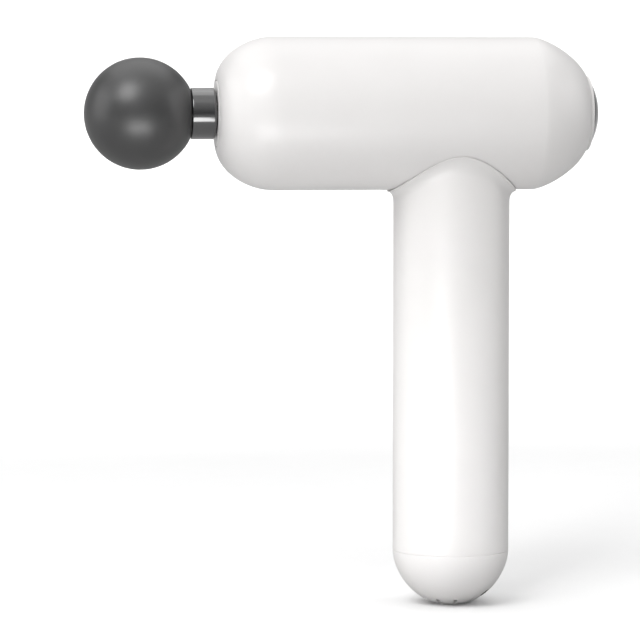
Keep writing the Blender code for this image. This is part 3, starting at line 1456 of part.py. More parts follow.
build_attachment()
build_piston()
build_rod()
build_crank()
build_frame()
build_frame_fittings()
build_motor()
build_battery()
build_boards()
build_leads()
build_panel()
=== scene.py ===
"""Looks of the massage gun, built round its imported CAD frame.

The nose points along -X, the handle hangs down -Z, and the origin is the centre of the
small flat on the handle's end. All sizes are in metres.
"""

import json
import math

import bmesh
import bpy
from mathutils import Matrix, Vector


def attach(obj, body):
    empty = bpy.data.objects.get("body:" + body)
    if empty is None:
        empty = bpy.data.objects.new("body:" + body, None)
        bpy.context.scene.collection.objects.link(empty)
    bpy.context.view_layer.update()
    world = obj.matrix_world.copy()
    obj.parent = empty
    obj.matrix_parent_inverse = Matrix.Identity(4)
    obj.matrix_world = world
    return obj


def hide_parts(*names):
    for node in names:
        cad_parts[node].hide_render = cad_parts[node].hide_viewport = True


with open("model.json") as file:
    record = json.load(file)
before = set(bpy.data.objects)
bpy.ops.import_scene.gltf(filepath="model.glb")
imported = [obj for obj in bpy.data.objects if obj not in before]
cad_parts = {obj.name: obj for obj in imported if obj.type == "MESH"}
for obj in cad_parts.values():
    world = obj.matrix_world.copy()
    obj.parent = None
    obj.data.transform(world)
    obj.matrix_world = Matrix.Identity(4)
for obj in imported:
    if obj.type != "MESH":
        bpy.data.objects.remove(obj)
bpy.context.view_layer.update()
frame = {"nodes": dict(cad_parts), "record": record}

MM = 0.001

# Sizes shared with the CAD source
GAP = 0.3 * MM  # between pieces that touch or run in each other
SEAM = 0.15 * MM  # from each half shell to the parting plane
CAP_SEAM = 0.04 * MM  # from the cap, and from the handle, to the joint between them
HEAD_HEIGHT = 196.5 * MM
HEAD_RADIUS = 30.4 * MM
HEAD_WALL = 2.2 * MM
NOSE_X = -94.4 * MM
NOSE_ROUND = 22.4 * MM
NOSE_FLAT = 13.6 * MM
NOSE_POWER = 1.85
NOSE_DEPTH = 4.9 * MM
REAR_X = 53.6 * MM
REAR_ROUND = 21.0 * MM
REAR_HOLE = 15.3 * MM
REAR_POWER = 1.42
HANDLE_RADIUS = 23.247 * MM
HANDLE_BORE = 21.047 * MM
HANDLE_WALL = 2.2 * MM
NECK_RADIUS = 22.547 * MM
FLARE = 2.5 * MM
FLARE_HEIGHT = 4.5 * MM
CAP_HEIGHT = 21.6 * MM
CAP_FLAT = 4.4 * MM
CAP_POWER = 1.77
CAP_LEDGE_HEIGHT = 15.7 * MM
CAP_LEDGE_RADIUS = 17.6 * MM
SPIGOT_TOP = 23.6 * MM
SPIGOT_WALL = 1.45 * MM
VENT_COUNT = 10
VENT_INNER = 5.6 * MM
VENT_OUTER = 12.4 * MM
VENT_WIDTH = 1.5 * MM
PORT_REACH = 14.7 * MM
PORT_TURN = math.radians(-30)
JACK_NOSE = 2.1 * MM
JACK_BODY = 3.2 * MM
JACK_LENGTH = 8.5 * MM
BALL_RADIUS = 22.1 * MM
COLLAR_RADIUS = 10.15 * MM
COLLAR_REAR = -95.0 * MM
COLLAR_FRONT = COLLAR_REAR - 9.6 * MM
BALL_SEAT = COLLAR_FRONT - GAP
BALL_X = BALL_SEAT - math.sqrt(BALL_RADIUS**2 - COLLAR_RADIUS**2)
PLUG_RADIUS = 6.0 * MM
PLUG_LENGTH = 16.0 * MM
PIN_DEPTH = 13.0 * MM
O_RING_WIRE = 0.85 * MM
PISTON_RADIUS = 8.0 * MM
PISTON_FACE = COLLAR_REAR + GAP
PISTON_REAR = -31.0 * MM
WRIST_X = -37.0 * MM
WRIST_PIN = 2.0 * MM
FORK_FRONT = -45.0 * MM
FORK_HALF = 4.1 * MM
NOSE_BORE = 11.5 * MM
NOSE_RING_RADIUS = 13.0 * MM
NOSE_RING_DEPTH = 2.0 * MM
PANEL_RADIUS = 13.7 * MM
PANEL_PROUD = 5.6 * MM
PANEL_EDGE = 1.7 * MM
BEZEL_PROUD = 1.5 * MM
BUTTON_RADIUS = 6.6 * MM
LIGHT_INNER = 6.9 * MM
LIGHT_OUTER = 8.2 * MM
SCREW_PLACES = [(-73.2 * MM, 19.0 * MM), (-73.2 * MM, -19.0 * MM),
                (27.95 * MM, 19.0 * MM), (27.95 * MM, -21.2 * MM)]
SCREW_SEAT = 9.0 * MM
SCREW_RADIUS = 1.2 * MM
SCREW_HEAD = 2.4 * MM
SCREW_BOSS = 4.0 * MM

HEAD_AT = Vector((0, 0, HEAD_HEIGHT))
HANDLE_END = Vector((0, 0, 0))

# Facets round a full turn
FINE = 224
MEDIUM = 128
SMALL = 64

AT_AXIS = 1e-9  # a profile point nearer the axis than this is on it
WELD = 1e-7  # vertices closer than this are one
SHARP_ANGLE = math.radians(30)  # faces that meet at more than this keep a hard edge

# Materials
PLASTIC_EDGE = 0.25 * MM  # width of the rubbed edges
METAL_EDGE = 0.3 * MM
WORN_METAL = (0.8, 0.8, 0.82)
MIX_COLOUR_A = 6  # places of the Mix node's colour sockets
MIX_COLOUR_B = 7
MIX_COLOUR_OUT = 2


# ---------------------------------------------------------------- shapes

def superellipse(flat, full, length, power, count):
    """(distance behind the face, radius) along a rounded end, face first."""
    points = []
    for step in range(count + 1):
        angle = math.pi / 2 * step / count
        along = length * (1 - math.cos(angle) ** (2 / power))
        points.append((along, flat + (full - flat) * math.sin(angle) ** (2 / power)))
    return points


def inset(points, wall):
    """The points moved towards the axis by one wall, square to the outline."""
    moved = []
    for i, (along, radius) in enumerate(points):
        before = points[max(i - 1, 0)]
        after = points[min(i + 1, len(points) - 1)]
        slope = Vector((after[0] - before[0], after[1] - before[1])).normalized()
        moved.append((along + wall * slope.y, radius - wall * slope.x))
    return moved


def filleted(corners, closed=True, steps=4):
    """A profile with rounded corners from (along, radius, corner size) points."""
    made = []
    count = len(corners)
    most = 0.45  # of a side that one rounding may take
    for i, (a, r, size) in enumerate(corners):
        here = Vector((a, r))
        is_end = i in (0, count - 1) and not closed
        if size <= 0 or is_end:
            made.append((a, r))
            continue
        back = Vector(corners[i - 1][:2]) - here
        onward = Vector(corners[(i + 1) % count][:2]) - here
        reach = min(size, most * back.length, most * onward.length)
        start = here + back.normalized() * reach
        end = here + onward.normalized() * reach
        for step in range(steps + 1):
            t = step / steps
            point = start * (1 - t) ** 2 + here * 2 * t * (1 - t) + end * t**2
            made.append((point.x, point.y))
    return made


def mesh_object(name, verts, faces):
    mesh = bpy.data.meshes.new(name)
    mesh.from_pydata(verts, [], faces)
    return finish_object(name, mesh)


def finish_object(name, mesh):
    """Welds, turns the faces outwards and shades them smooth up to an angle."""
    shape = bmesh.new()
    shape.from_mesh(mesh)
    bmesh.ops.remove_doubles(shape, verts=shape.verts, dist=WELD)
    bmesh.ops.recalc_face_normals(shape, faces=shape.faces)
    shape.to_mesh(mesh)
    shape.free()
    mesh.shade_smooth()
    mesh.set_sharp_from_angle(angle=SHARP_ANGLE)
    obj = bpy.data.objects.new(name, mesh)
    bpy.context.scene.collection.objects.link(obj)
    return obj


AXES = {
    "X": lambda along, a, b: (along, a, b),
    "Y": lambda along, a, b: (a, along, b),
    "Z": lambda along, a, b: (a, b, along),
}


def lathe_data(profile, axis, steps, closed):
    """Vertices and faces of a turned solid. An open profile starts and ends on the axis."""
    put = AXES[axis]
    verts = []
    faces = []
    starts = []
    for along, radius in profile:
        starts.append(len(verts))
        if radius < AT_AXIS:
            verts.append(put(along, 0.0, 0.0))
            continue
        for step in range(steps):
            angle = 2 * math.pi * step / steps
            verts.append(put(along, radius * math.cos(angle), radius * math.sin(angle)))
    pairs = list(zip(range(len(profile)), range(1, len(profile))))
    if closed:
        pairs.append((len(profile) - 1, 0))
    for low, high in pairs:
        low_pole = profile[low][1] < AT_AXIS
        high_pole = profile[high][1] < AT_AXIS
        for step in range(steps):
            after = (step + 1) % steps
            if low_pole and high_pole:
                continue
            if low_pole:
                faces.append((starts[low], starts[high] + after, starts[high] + step))
            elif high_pole:
                faces.append((starts[low] + step, starts[low] + after, starts[high]))
            else:
                faces.append((starts[low] + step, starts[low] + after,
                              starts[high] + after, starts[high] + step))
    return verts, faces


def lathe(name, profile, axis="X", at=HEAD_AT, steps=MEDIUM):
    closed = min(radius for _, radius in profile) > AT_AXIS
    verts, faces = lathe_data(profile, axis, steps, closed)
    obj = mesh_object(name, verts, faces)
    obj.data.transform(Matrix.Translation(at))
    return obj


def cylinders(name, rods, sides):
    """One scratch mesh of separate cylinders, each (start, end, radius)."""
    shape = bmesh.new()
    for start, end, radius in rods:
        start = Vector(start)
        span = Vector(end) - start
        turn = span.to_track_quat("Z", "Y").to_matrix().to_4x4()
        matrix = Matrix.Translation(start + span / 2) @ turn
        bmesh.ops.create_cone(shape, cap_ends=True, segments=sides, radius1=radius,
                              radius2=radius, depth=span.length, matrix=matrix)
    mesh = bpy.data.meshes.new(name)
    shape.to_mesh(mesh)
    shape.free()
    obj = bpy.data.objects.new(name, mesh)
    bpy.context.scene.collection.objects.link(obj)
    return obj


def boxes(name, ranges):
    shape = bmesh.new()
    for low, high in ranges:
        middle = (Vector(low) + Vector(high)) / 2
        size = Vector(high) - Vector(low)
        matrix = Matrix.Translation(middle) @ Matrix.Diagonal((*size, 1))
        bmesh.ops.create_cube(shape, size=1, matrix=matrix)
    mesh = bpy.data.meshes.new(name)
    shape.to_mesh(mesh)
    shape.free()
    obj = bpy.data.objects.new(name, mesh)
    bpy.context.scene.collection.objects.link(obj)
    return obj


def cut(obj, *cutters):
    """The object less the cutters, as a plain mesh. The cutters are used up."""
    for cutter in cutters:
        change = obj.modifiers.new("Cut", "BOOLEAN")
        change.operation = "DIFFERENCE"
        change.solver = "EXACT"
        change.object = cutter
    bpy.context.view_layer.update()
    graph = bpy.context.evaluated_depsgraph_get()
    mesh = bpy.data.meshes.new_from_object(obj.evaluated_get(graph))
    name = obj.name
    bpy.data.objects.remove(obj)
    for cutter in cutters:
        bpy.data.objects.remove(cutter)
    mesh.name = name
    return finish_object(name, mesh)


def joined(name, *pieces):
    """Several closed bodies as one piece."""
    shape = bmesh.new()
    for obj in pieces:
        shape.from_mesh(obj.data)
    mesh = bpy.data.meshes.new(name)
    shape.to_mesh(mesh)
    shape.free()
    for obj in pieces:
        bpy.data.objects.remove(obj)
    return finish_object(name, mesh)


# ---------------------------------------------------------------- materials

def material_base(name):
    made = bpy.data.materials.new(name)
    made.use_nodes = True
    tree = made.node_tree
    return made, tree, tree.nodes["Principled BSDF"]


def noise(tree, where, scale, detail, roughness=0.5):
    node = tree.nodes.new("ShaderNodeTexNoise")
    node.inputs["Scale"].default_value = scale
    node.inputs["Detail"].default_value = detail
    node.inputs["Roughness"].default_value = roughness
    tree.links.new(where, node.inputs["Vector"])
    return node.outputs["Fac"]


def span(tree, value, low, high, start=0.0, end=1.0):
    node = tree.nodes.new("ShaderNodeMapRange")
    node.inputs["From Min"].default_value = start
    node.inputs["From Max"].default_value = end
    node.inputs["To Min"].default_value = low
    node.inputs["To Max"].default_value = high
    tree.links.new(value, node.inputs["Value"])
    return node.outputs["Result"]


def blend_colours(tree, amount, first, second):
    """A colour between two, each a colour or another node's output."""
    node = tree.nodes.new("ShaderNodeMix")
    node.data_type = "RGBA"
    tree.links.new(amount, node.inputs["Factor"])
    for index, value in ((MIX_COLOUR_A, first), (MIX_COLOUR_B, second)):
        if isinstance(value, tuple):
            node.inputs[index].default_value = (*value, 1)
        else:
            tree.links.new(value, node.inputs[index])
    return node.outputs[MIX_COLOUR_OUT]


def times(tree, first, second):
    node = tree.nodes.new("ShaderNodeMath")
    node.operation = "MULTIPLY"
    node.use_clamp = True
    for index, value in ((0, first), (1, second)):
        if isinstance(value, float):
            node.inputs[index].default_value = value
        else:
            tree.links.new(value, node.inputs[index])
    return node.outputs[0]


def edge_mask(tree, radius):
    """1 near a sharp edge and 0 on open surface, from how far a rounded normal turns."""
    bevel = tree.nodes.new("ShaderNodeBevel")
    bevel.samples = 4
    bevel.inputs["Radius"].default_value = radius
    geometry = tree.nodes.new("ShaderNodeNewGeometry")
    dot = tree.nodes.new("ShaderNodeVectorMath")
    dot.operation = "DOT_PRODUCT"
    tree.links.new(bevel.outputs["Normal"], dot.inputs[0])
    tree.links.new(geometry.outputs["Normal"], dot.inputs[1])
    edge_dot = 0.8
    open_dot = 0.97
    return span(tree, dot.outputs["Value"], 1.0, 0.0, edge_dot, open_dot)


def bump(tree, shader, heights):
    """Chains (height output, distance, strength) into the shader's normal."""
    last = None
    for height, distance, strength in heights:
        node = tree.nodes.new("ShaderNodeBump")
        node.inputs["Distance"].default_value = distance
        node.inputs["Strength"].default_value = strength
        tree.links.new(height, node.inputs["Height"])
        if last is not None:
            tree.links.new(last, node.inputs["Normal"])
        last = node.outputs["Normal"]
    tree.links.new(last, shader.inputs["Normal"])


def place_of(tree, stretch=None):
    """Object coordinates, stretched where a grain runs one way."""
    where = tree.nodes.new("ShaderNodeTexCoord").outputs["Object"]
    if stretch is None:
        return where
    mapping = tree.nodes.new("ShaderNodeMapping")
    mapping.inputs["Scale"].default_value = stretch
    tree.links.new(where, mapping.inputs["Vector"])
    return mapping.outputs["Vector"]


def plastic(name, light, dark, smooth, rough, grain=9000, depth=0.004, worn=None,
            coat=0.0, ior=1.5):
    """Moulded plastic: cloudy colour, a fine moulded grain and rubbed edges.

    The grain's depth is in millimetres.
    """
    made, tree, shader = material_base(name)
    where = place_of(tree)
    cloud = noise(tree, where, 38, 4)
    speck = noise(tree, where, 1500, 2)
    colour = blend_colours(tree, span(tree, cloud, 0, 1, 0.35, 0.65), light, dark)
    colour = blend_colours(tree, span(tree, speck, 0, 0.35, 0.55, 0.8), colour, dark)
    if worn is not None:
        patch = span(tree, noise(tree, where, 260, 5), 0, 0.8, 0.42, 0.66)
        mask = times(tree, edge_mask(tree, PLASTIC_EDGE), patch)
        colour = blend_colours(tree, mask, colour, worn)
    tree.links.new(colour, shader.inputs["Base Color"])
    handled = noise(tree, where, 45, 2)
    tree.links.new(span(tree, handled, smooth, rough, 0.2, 0.8), shader.inputs["Roughness"])
    peel = noise(tree, where, 900, 2)
    fine = noise(tree, where, grain, 2)
    bump(tree, shader, [(peel, depth * MM, 0.35), (fine, depth * MM, 0.5)])
    shader.inputs["IOR"].default_value = ior
    if coat > 0:
        shader.inputs["Coat Weight"].default_value = coat
        shader.inputs["Coat Roughness"].default_value = 0.12
    return made


def metal(name, light, dark, smooth, rough, stretch=(1, 1, 1), grain=2600, depth=0.006):
    """Metal with a grain along one direction, darker stains and bright edges."""
    made, tree, shader = material_base(name)
    where = place_of(tree)
    lines = noise(tree, place_of(tree, stretch), grain, 5, 0.65)
    stain = noise(tree, where, 130, 5)
    colour = blend_colours(tree, span(tree, stain, 0, 1, 0.38, 0.64), light, dark)
    colour = blend_colours(tree, span(tree, lines, 0, 0.4, 0.4, 0.7), colour, dark)
    colour = blend_colours(tree, times(tree, edge_mask(tree, METAL_EDGE), 0.7), colour, WORN_METAL)
    tree.links.new(colour, shader.inputs["Base Color"])
    tree.links.new(span(tree, lines, smooth, rough, 0.35, 0.7), shader.inputs["Roughness"])
    shader.inputs["Metallic"].default_value = 1.0
    bump(tree, shader, [(lines, depth * MM, 0.6)])
    return made


def rubber_material(name, light, dark):
    made, tree, shader = material_base(name)
    where = place_of(tree)
    cloud = noise(tree, where, 220, 5)
    fine = noise(tree, where, 5200, 3)
    colour = blend_colours(tree, span(tree, cloud, 0, 1, 0.35, 0.68), dark, light)
    tree.links.new(colour, shader.inputs["Base Color"])
    tree.links.new(span(tree, fine, 0.62, 0.88, 0.3, 0.7), shader.inputs["Roughness"])
    bump(tree, shader, [(fine, 0.01 * MM, 0.7)])
    shader.inputs["Sheen Weight"].default_value = 0.15
    return made


def board_material(name):
    """Solder-mask green with darker tracks and pale pads."""
    made, tree, shader = material_base(name)
    where = place_of(tree)
    cells = tree.nodes.new("ShaderNodeTexVoronoi")
    cells.distance = "MANHATTAN"
    cells.inputs["Scale"].default_value = 420
    tree.links.new(where, cells.inputs["Vector"])
    tracks = span(tree, cells.outputs["Distance"], 0, 1, 0.3, 0.36)
    colour = blend_colours(tree, tracks, (0.03, 0.2, 0.08), (0.015, 0.11, 0.045))
    pads = span(tree, cells.outputs["Distance"], 1, 0, 0.06, 0.09)
    colour = blend_colours(tree, pads, colour, (0.62, 0.6, 0.5))
    tree.links.new(colour, shader.inputs["Base Color"])
    gloss = noise(tree, where, 700, 3)
    tree.links.new(span(tree, gloss, 0.25, 0.5), shader.inputs["Roughness"])
    bump(tree, shader, [(tracks, 0.03 * MM, 0.5)])
    return made


def coil_material(name):
    """Enamelled copper: turns of wire side by side round each tooth."""
    made, tree, shader = material_base(name)
    wave = tree.nodes.new("ShaderNodeTexWave")
    wave.wave_type = "BANDS"
    wave.bands_direction = "Z"
    wave.inputs["Scale"].default_value = 900
    wave.inputs["Distortion"].default_value = 1.2
    where = place_of(tree)
    tree.links.new(where, wave.inputs["Vector"])
    turns = wave.outputs["Fac"]
    colour = blend_colours(tree, turns, (0.24, 0.07, 0.02), (0.78, 0.34, 0.13))
    tree.links.new(colour, shader.inputs["Base Color"])
    tree.links.new(span(tree, turns, 0.42, 0.25), shader.inputs["Roughness"])
    shader.inputs["Metallic"].default_value = 0.85
    bump(tree, shader, [(turns, 0.08 * MM, 0.8)])
    return made


WHITE = plastic("white_gloss_plastic", (0.835, 0.82, 0.812), (0.82, 0.805, 0.797), 0.29,
                0.33, grain=2600, depth=0.003)
GREY = plastic("grey_soft_plastic", (0.04, 0.04, 0.04), (0.034, 0.034, 0.035), 0.34,
               0.44, grain=4200, depth=0.012, worn=(0.1, 0.1, 0.1), ior=1.75)
DARK_GLOSS = plastic("dark_gloss_plastic", (0.02, 0.02, 0.021), (0.015, 0.015, 0.016), 0.1,
                     0.18, depth=0.002, worn=(0.06, 0.06, 0.06), coat=1.0, ior=2.1)
BLACK = plastic("black_plastic", (0.026, 0.026, 0.027), (0.018, 0.018, 0.018), 0.34, 0.48,
                grain=5200, depth=0.01, worn=(0.07, 0.07, 0.07))
DIFFUSER = plastic("light_diffuser", (0.78, 0.81, 0.83), (0.7, 0.73, 0.76), 0.3, 0.45,
                   worn=(0.6, 0.62, 0.64))
NYLON = plastic("nylon", (0.76, 0.74, 0.69), (0.68, 0.65, 0.59), 0.4, 0.58, grain=5200,
                depth=0.012, worn=(0.56, 0.53, 0.47))
RUBBER = rubber_material("black_rubber", (0.045, 0.045, 0.045), (0.022, 0.022, 0.022))
STEEL = metal("ground_steel", (0.6, 0.61, 0.63), (0.43, 0.44, 0.46), 0.16, 0.34,
              stretch=(0.12, 1, 1))
DARK_STEEL = metal("laminated_steel", (0.36, 0.36, 0.38), (0.24, 0.24, 0.26), 0.3, 0.5,
                   stretch=(0.2, 0.2, 2.4), grain=1800, depth=0.03)
ALLOY = metal("cast_alloy", (0.64, 0.65, 0.66), (0.5, 0.5, 0.52), 0.38, 0.58, grain=2200,
              depth=0.03)
COPPER = coil_material("enamelled_copper")
BOARD = board_material("circuit_board")
CELL_WRAP = plastic("cell_wrap", (0.075, 0.2, 0.44), (0.05, 0.15, 0.36), 0.25, 0.42,
                    depth=0.01, worn=(0.25, 0.35, 0.5))
RED = plastic("red_wire", (0.5, 0.03, 0.03), (0.4, 0.02, 0.02), 0.38, 0.55, depth=0.01)
YELLOW = plastic("yellow_wire", (0.6, 0.45, 0.05), (0.5, 0.36, 0.03), 0.38, 0.55, depth=0.01)
BLACK_WIRE = plastic("black_wire", (0.03, 0.03, 0.03), (0.02, 0.02, 0.02), 0.38, 0.55,
                     depth=0.01)


# ---------------------------------------------------------------- housing

def head_outline():
    """The head's outer (x, radius) points, from the nose to the rear opening."""
    end_steps = 48
    nose = superellipse(NOSE_FLAT, HEAD_RADIUS, NOSE_ROUND, NOSE_POWER, end_steps)
    rear = superellipse(REAR_HOLE, HEAD_RADIUS, REAR_ROUND, REAR_POWER, end_steps)
    front = [(NOSE_X + along, radius) for along, radius in nose]
    middle_end = REAR_X - REAR_ROUND
    middle_start = front[-1][0]
    count = 40
    middle = [(middle_start + (middle_end - middle_start) * i / count, HEAD_RADIUS)
              for i in range(1, count)]
    back = [(REAR_X - along, radius) for along, radius in reversed(rear)]
    return front + middle + back


def head_profile():
    """(x, radius, is outside) round the shell's closed section."""
    outline = head_outline()
    nose_wall = NOSE_X + NOSE_DEPTH
    inside = inset(outline, HEAD_WALL)
    corner_room = 1 * MM
    rear_step = 2 * MM
    kept = [p for p in inside[::3] if nose_wall + corner_room < p[0]]
    kept = [p for p in kept if p[0] < 0 or p[1] > REAR_HOLE + corner_room]
    start = min(inside, key=lambda p: abs(p[0] - nose_wall))
    lip = NOSE_RING_RADIUS + GAP
    step = NOSE_X + NOSE_RING_DEPTH + GAP
    profile = [(NOSE_X, lip, False)]
    profile += [(x, radius, True) for x, radius in outline]
    profile.append((kept[-1][0] + rear_step, REAR_HOLE, False))
    profile += [(x, radius, False) for x, radius in kept[::-1]]
    profile.append((nose_wall, start[1], False))
    profile.append((nose_wall, NOSE_BORE, False))
    profile.append((step, NOSE_BORE, False))
    profile.append((step, lip, False))
    return profile


def half_shell(name, side):
    """Half the head, its outer edges rolled in at the parting line."""
    profile = head_profile()
    # (distance from the parting plane, how far the outside is rolled in)
    roll = [(SEAM, 0.14 * MM), (SEAM + 0.04 * MM, 0.05 * MM), (SEAM + 0.11 * MM, 0.012 * MM),
            (SEAM + 0.2 * MM, 0.0)]
    half = FINE // 2
    turns = [math.pi * step / half for step in range(1, half)]
    verts = []
    columns = []
    for x, radius, outside in profile:
        column = []
        for y, drop in roll:
            around = math.asin(y / radius)
            size = radius - (drop if outside else 0.0)
            column.append((x, y, size * math.cos(around)))
        column += [(x, radius * math.sin(t), radius * math.cos(t)) for t in turns]
        for y, drop in reversed(roll):
            around = math.asin(y / radius)
            size = radius - (drop if outside else 0.0)
            column.append((x, y, -size * math.cos(around)))
        columns.append(column)
    rows = len(columns[0])
    for column in columns:
        verts += [(x, side * y, z + HEAD_HEIGHT) for x, y, z in column]
    faces = []
    count = len(columns)
    for i in range(count):
        j = (i + 1) % count
        for k in range(rows - 1):
            faces.append((i * rows + k, j * rows + k, j * rows + k + 1, i * rows + k + 1))
    faces.append(tuple(i * rows for i in range(count)))
    faces.append(tuple(i * rows + rows - 1 for i in reversed(range(count))))
    return mesh_object(name, verts, faces)


def screw_tube(x, z, side):
    """The boss round a screw, its far end kept within the shell's wall."""
    foot = SCREW_SEAT - 1.6 * MM
    hole = SCREW_RADIUS + GAP
    recess = SCREW_HEAD + GAP + 0.02 * MM
    under_skin = 1.1 * MM
    rings = [(foot, hole), (foot, SCREW_BOSS), (None, SCREW_BOSS), (None, recess),
             (SCREW_SEAT, recess), (SCREW_SEAT, hole)]
    verts = []
    faces = []
    for y, radius in rings:
        for step in range(SMALL):
            angle = 2 * math.pi * step / SMALL
            dx = radius * math.cos(angle)
            dz = radius * math.sin(angle)
            skin = math.sqrt(HEAD_RADIUS**2 - (z + dz) ** 2) - under_skin
            verts.append((x + dx, side * (skin if y is None else y), HEAD_HEIGHT + z + dz))
    for i in range(len(rings)):
        j = (i + 1) % len(rings)
        for step in range(SMALL):
            after = (step + 1) % SMALL
            faces.append((i * SMALL + step, i * SMALL + after, j * SMALL + after, j * SMALL + step))
    return mesh_object("boss", verts, faces)


def build_head():
    """Two half shells. The screws' recesses are in the right one."""
    neck_low = (0, 0, HEAD_HEIGHT - HEAD_RADIUS - 10 * MM)
    neck_high = (0, 0, HEAD_HEIGHT - 14 * MM)
    sink_start = SCREW_SEAT + 1 * MM
    sink_end = HEAD_RADIUS + 5 * MM
    for side, name in ((-1, "left"), (1, "right")):
        shell = half_shell(f"head_shell_{name}_skin", side)
        neck = cylinders("neck_cutter", [(neck_low, neck_high, NECK_RADIUS + GAP)], MEDIUM)
        shell = cut(shell, neck)
        if side > 0:
            sinks = [((x, sink_start, HEAD_HEIGHT + z), (x, sink_end, HEAD_HEIGHT + z),
                      SCREW_HEAD + GAP) for x, z in SCREW_PLACES]
            shell = cut(shell, cylinders("sink_cutter", sinks, SMALL))
            tubes = [screw_tube(x, z, side) for x, z in SCREW_PLACES]
            shell = joined(f"head_shell_{name}_skin", shell, *tubes)
        own(shell, "housing", "white_shell", WHITE, f"head_shell_{name}")


def build_shell_screws():
    """Pan-head screws with a six-sided socket."""
    seat = SCREW_SEAT + GAP
    head = 1.8 * MM
    tip = -8 * MM
    taper = 1.2 * MM
    for number, (x, z) in enumerate(SCREW_PLACES, 1):
        at = HEAD_AT + Vector((x, 0, z))
        corners = [(tip, 0.0, 0), (tip, SCREW_RADIUS * 0.6, 0.1 * MM),
                   (tip + taper, SCREW_RADIUS, 0.2 * MM), (seat, SCREW_RADIUS, 0),
                   (seat, SCREW_HEAD, 0.15 * MM), (seat + head, SCREW_HEAD, 0.9 * MM),
                   (seat + head, 0.0, 0)]
        screw = lathe(f"shell_screw_{number}_fine", filleted(corners, closed=False), "Y", at, SMALL)
        low = at + Vector((0, seat + head * 0.35, 0))
        high = at + Vector((0, seat + head * 2, 0))
        socket = cylinders("socket_cutter", [(low, high, SCREW_RADIUS)], 6)
        own(cut(screw, socket), "housing", "steel", STEEL, f"shell_screw_{number}")


def saddle(radius, angle):
    """Height of the head's underside over a point of the handle's plan."""
    side = radius * math.sin(angle)
    return HEAD_HEIGHT - math.sqrt((HEAD_RADIUS + GAP) ** 2 - side**2)


def build_handle():
    """The handle tube, with its flared lip that follows the head.

    Each ring of it is (radius, drop below the head's underside, or a level instead).
    """
    foot = CAP_HEIGHT + CAP_SEAM
    neck_top = HEAD_HEIGHT - 16.3 * MM
    chamfer = 0.08 * MM
    rounded = 0.02 * MM
    rings = [(HANDLE_BORE, None, foot), (HANDLE_RADIUS - chamfer, None, foot),
             (HANDLE_RADIUS - rounded, None, foot + rounded),
             (HANDLE_RADIUS, None, foot + chamfer)]
    straight_foot = foot + 1 * MM
    straight_top = 150 * MM
    straight_steps = 24
    for step in range(straight_steps + 1):
        level = straight_foot + (straight_top - straight_foot) * step / straight_steps
        rings.append((HANDLE_RADIUS, None, level))
    lip_edge = 0.5 * MM
    flare_steps = 18
    for step in range(flare_steps + 1):
        turn = math.pi / 2 * step / flare_steps
        grown = FLARE * (1 - math.cos(turn))
        drop = lip_edge + (FLARE_HEIGHT - lip_edge) * (1 - math.sin(turn))
        rings.append((HANDLE_RADIUS + grown, drop, None))
    lip = HANDLE_RADIUS + FLARE
    rings += [(lip, 0.26 * MM, None), (lip - 0.07 * MM, 0.1 * MM, None),
              (lip - 0.24 * MM, 0.02 * MM, None), (lip - 1 * MM, 0.0, None),
              (NECK_RADIUS, 0.0, None), (NECK_RADIUS, None, neck_top),
              (HANDLE_BORE, None, neck_top)]
    verts = []
    faces = []
    for radius, drop, level in rings:
        for step in range(FINE):
            angle = 2 * math.pi * step / FINE
            height = saddle(radius, angle) - drop if level is None else level
            verts.append((radius * math.cos(angle), radius * math.sin(angle), height))
    count = len(rings)
    for i in range(count):
        j = (i + 1) % count
        for step in range(FINE):
            after = (step + 1) % FINE
            faces.append((i * FINE + step, i * FINE + after, j * FINE + after, j * FINE + step))
    handle = mesh_object("handle_shell_skin", verts, faces)
    own(handle, "housing", "white_shell", WHITE, "handle_shell")


def cap_outline(count):
    """The cap's outer (height, radius) points, from its flat to its rim."""
    return superellipse(CAP_FLAT, HANDLE_RADIUS, CAP_HEIGHT - SEAM, CAP_POWER, count)


def port_frame():
    """Where the charging socket meets the dome, and the direction it faces."""
    outline = cap_outline(8)
    for low, high in zip(outline, outline[1:]):
        if low[1] <= PORT_REACH < high[1]:
            part = (PORT_REACH - low[1]) / (high[1] - low[1])
            height = low[0] + part * (high[0] - low[0])
            slope = Vector((high[0] - low[0], high[1] - low[1])).normalized()
    radial = Vector((math.cos(PORT_TURN), math.sin(PORT_TURN), 0))
    at = radial * PORT_REACH + Vector((0, 0, height))
    return at, (radial * slope.x - Vector((0, 0, slope.y))).normalized()


def vent_cutter():
    """Ten slots with round ends, spread round the axis."""
    shape = bmesh.new()
    half = VENT_WIDTH / 2
    ends = 12
    low = -2 * MM
    high = 10 * MM
    for number in range(VENT_COUNT):
        turn = Matrix.Rotation(2 * math.pi * (number + 0.5) / VENT_COUNT, 4, "Z")
        outline = []
        for step in range(ends + 1):
            angle = -math.pi / 2 + math.pi * step / ends
            outline.append((VENT_OUTER - half + half * math.cos(angle), half * math.sin(angle)))
        for step in range(ends + 1):
            angle = math.pi / 2 + math.pi * step / ends
            outline.append((VENT_INNER + half + half * math.cos(angle), half * math.sin(angle)))
        bottom = [shape.verts.new(turn @ Vector((x, y, low))) for x, y in outline]
        top = [shape.verts.new(turn @ Vector((x, y, high))) for x, y in outline]
        shape.faces.new(bottom[::-1])
        shape.faces.new(top)
        for i in range(len(outline)):
            j = (i + 1) % len(outline)
            shape.faces.new((bottom[i], bottom[j], top[j], top[i]))
    mesh = bpy.data.meshes.new("vent_cutter")
    shape.to_mesh(mesh)
    shape.free()
    obj = bpy.data.objects.new("vent_cutter", mesh)
    bpy.context.scene.collection.objects.link(obj)
    return obj


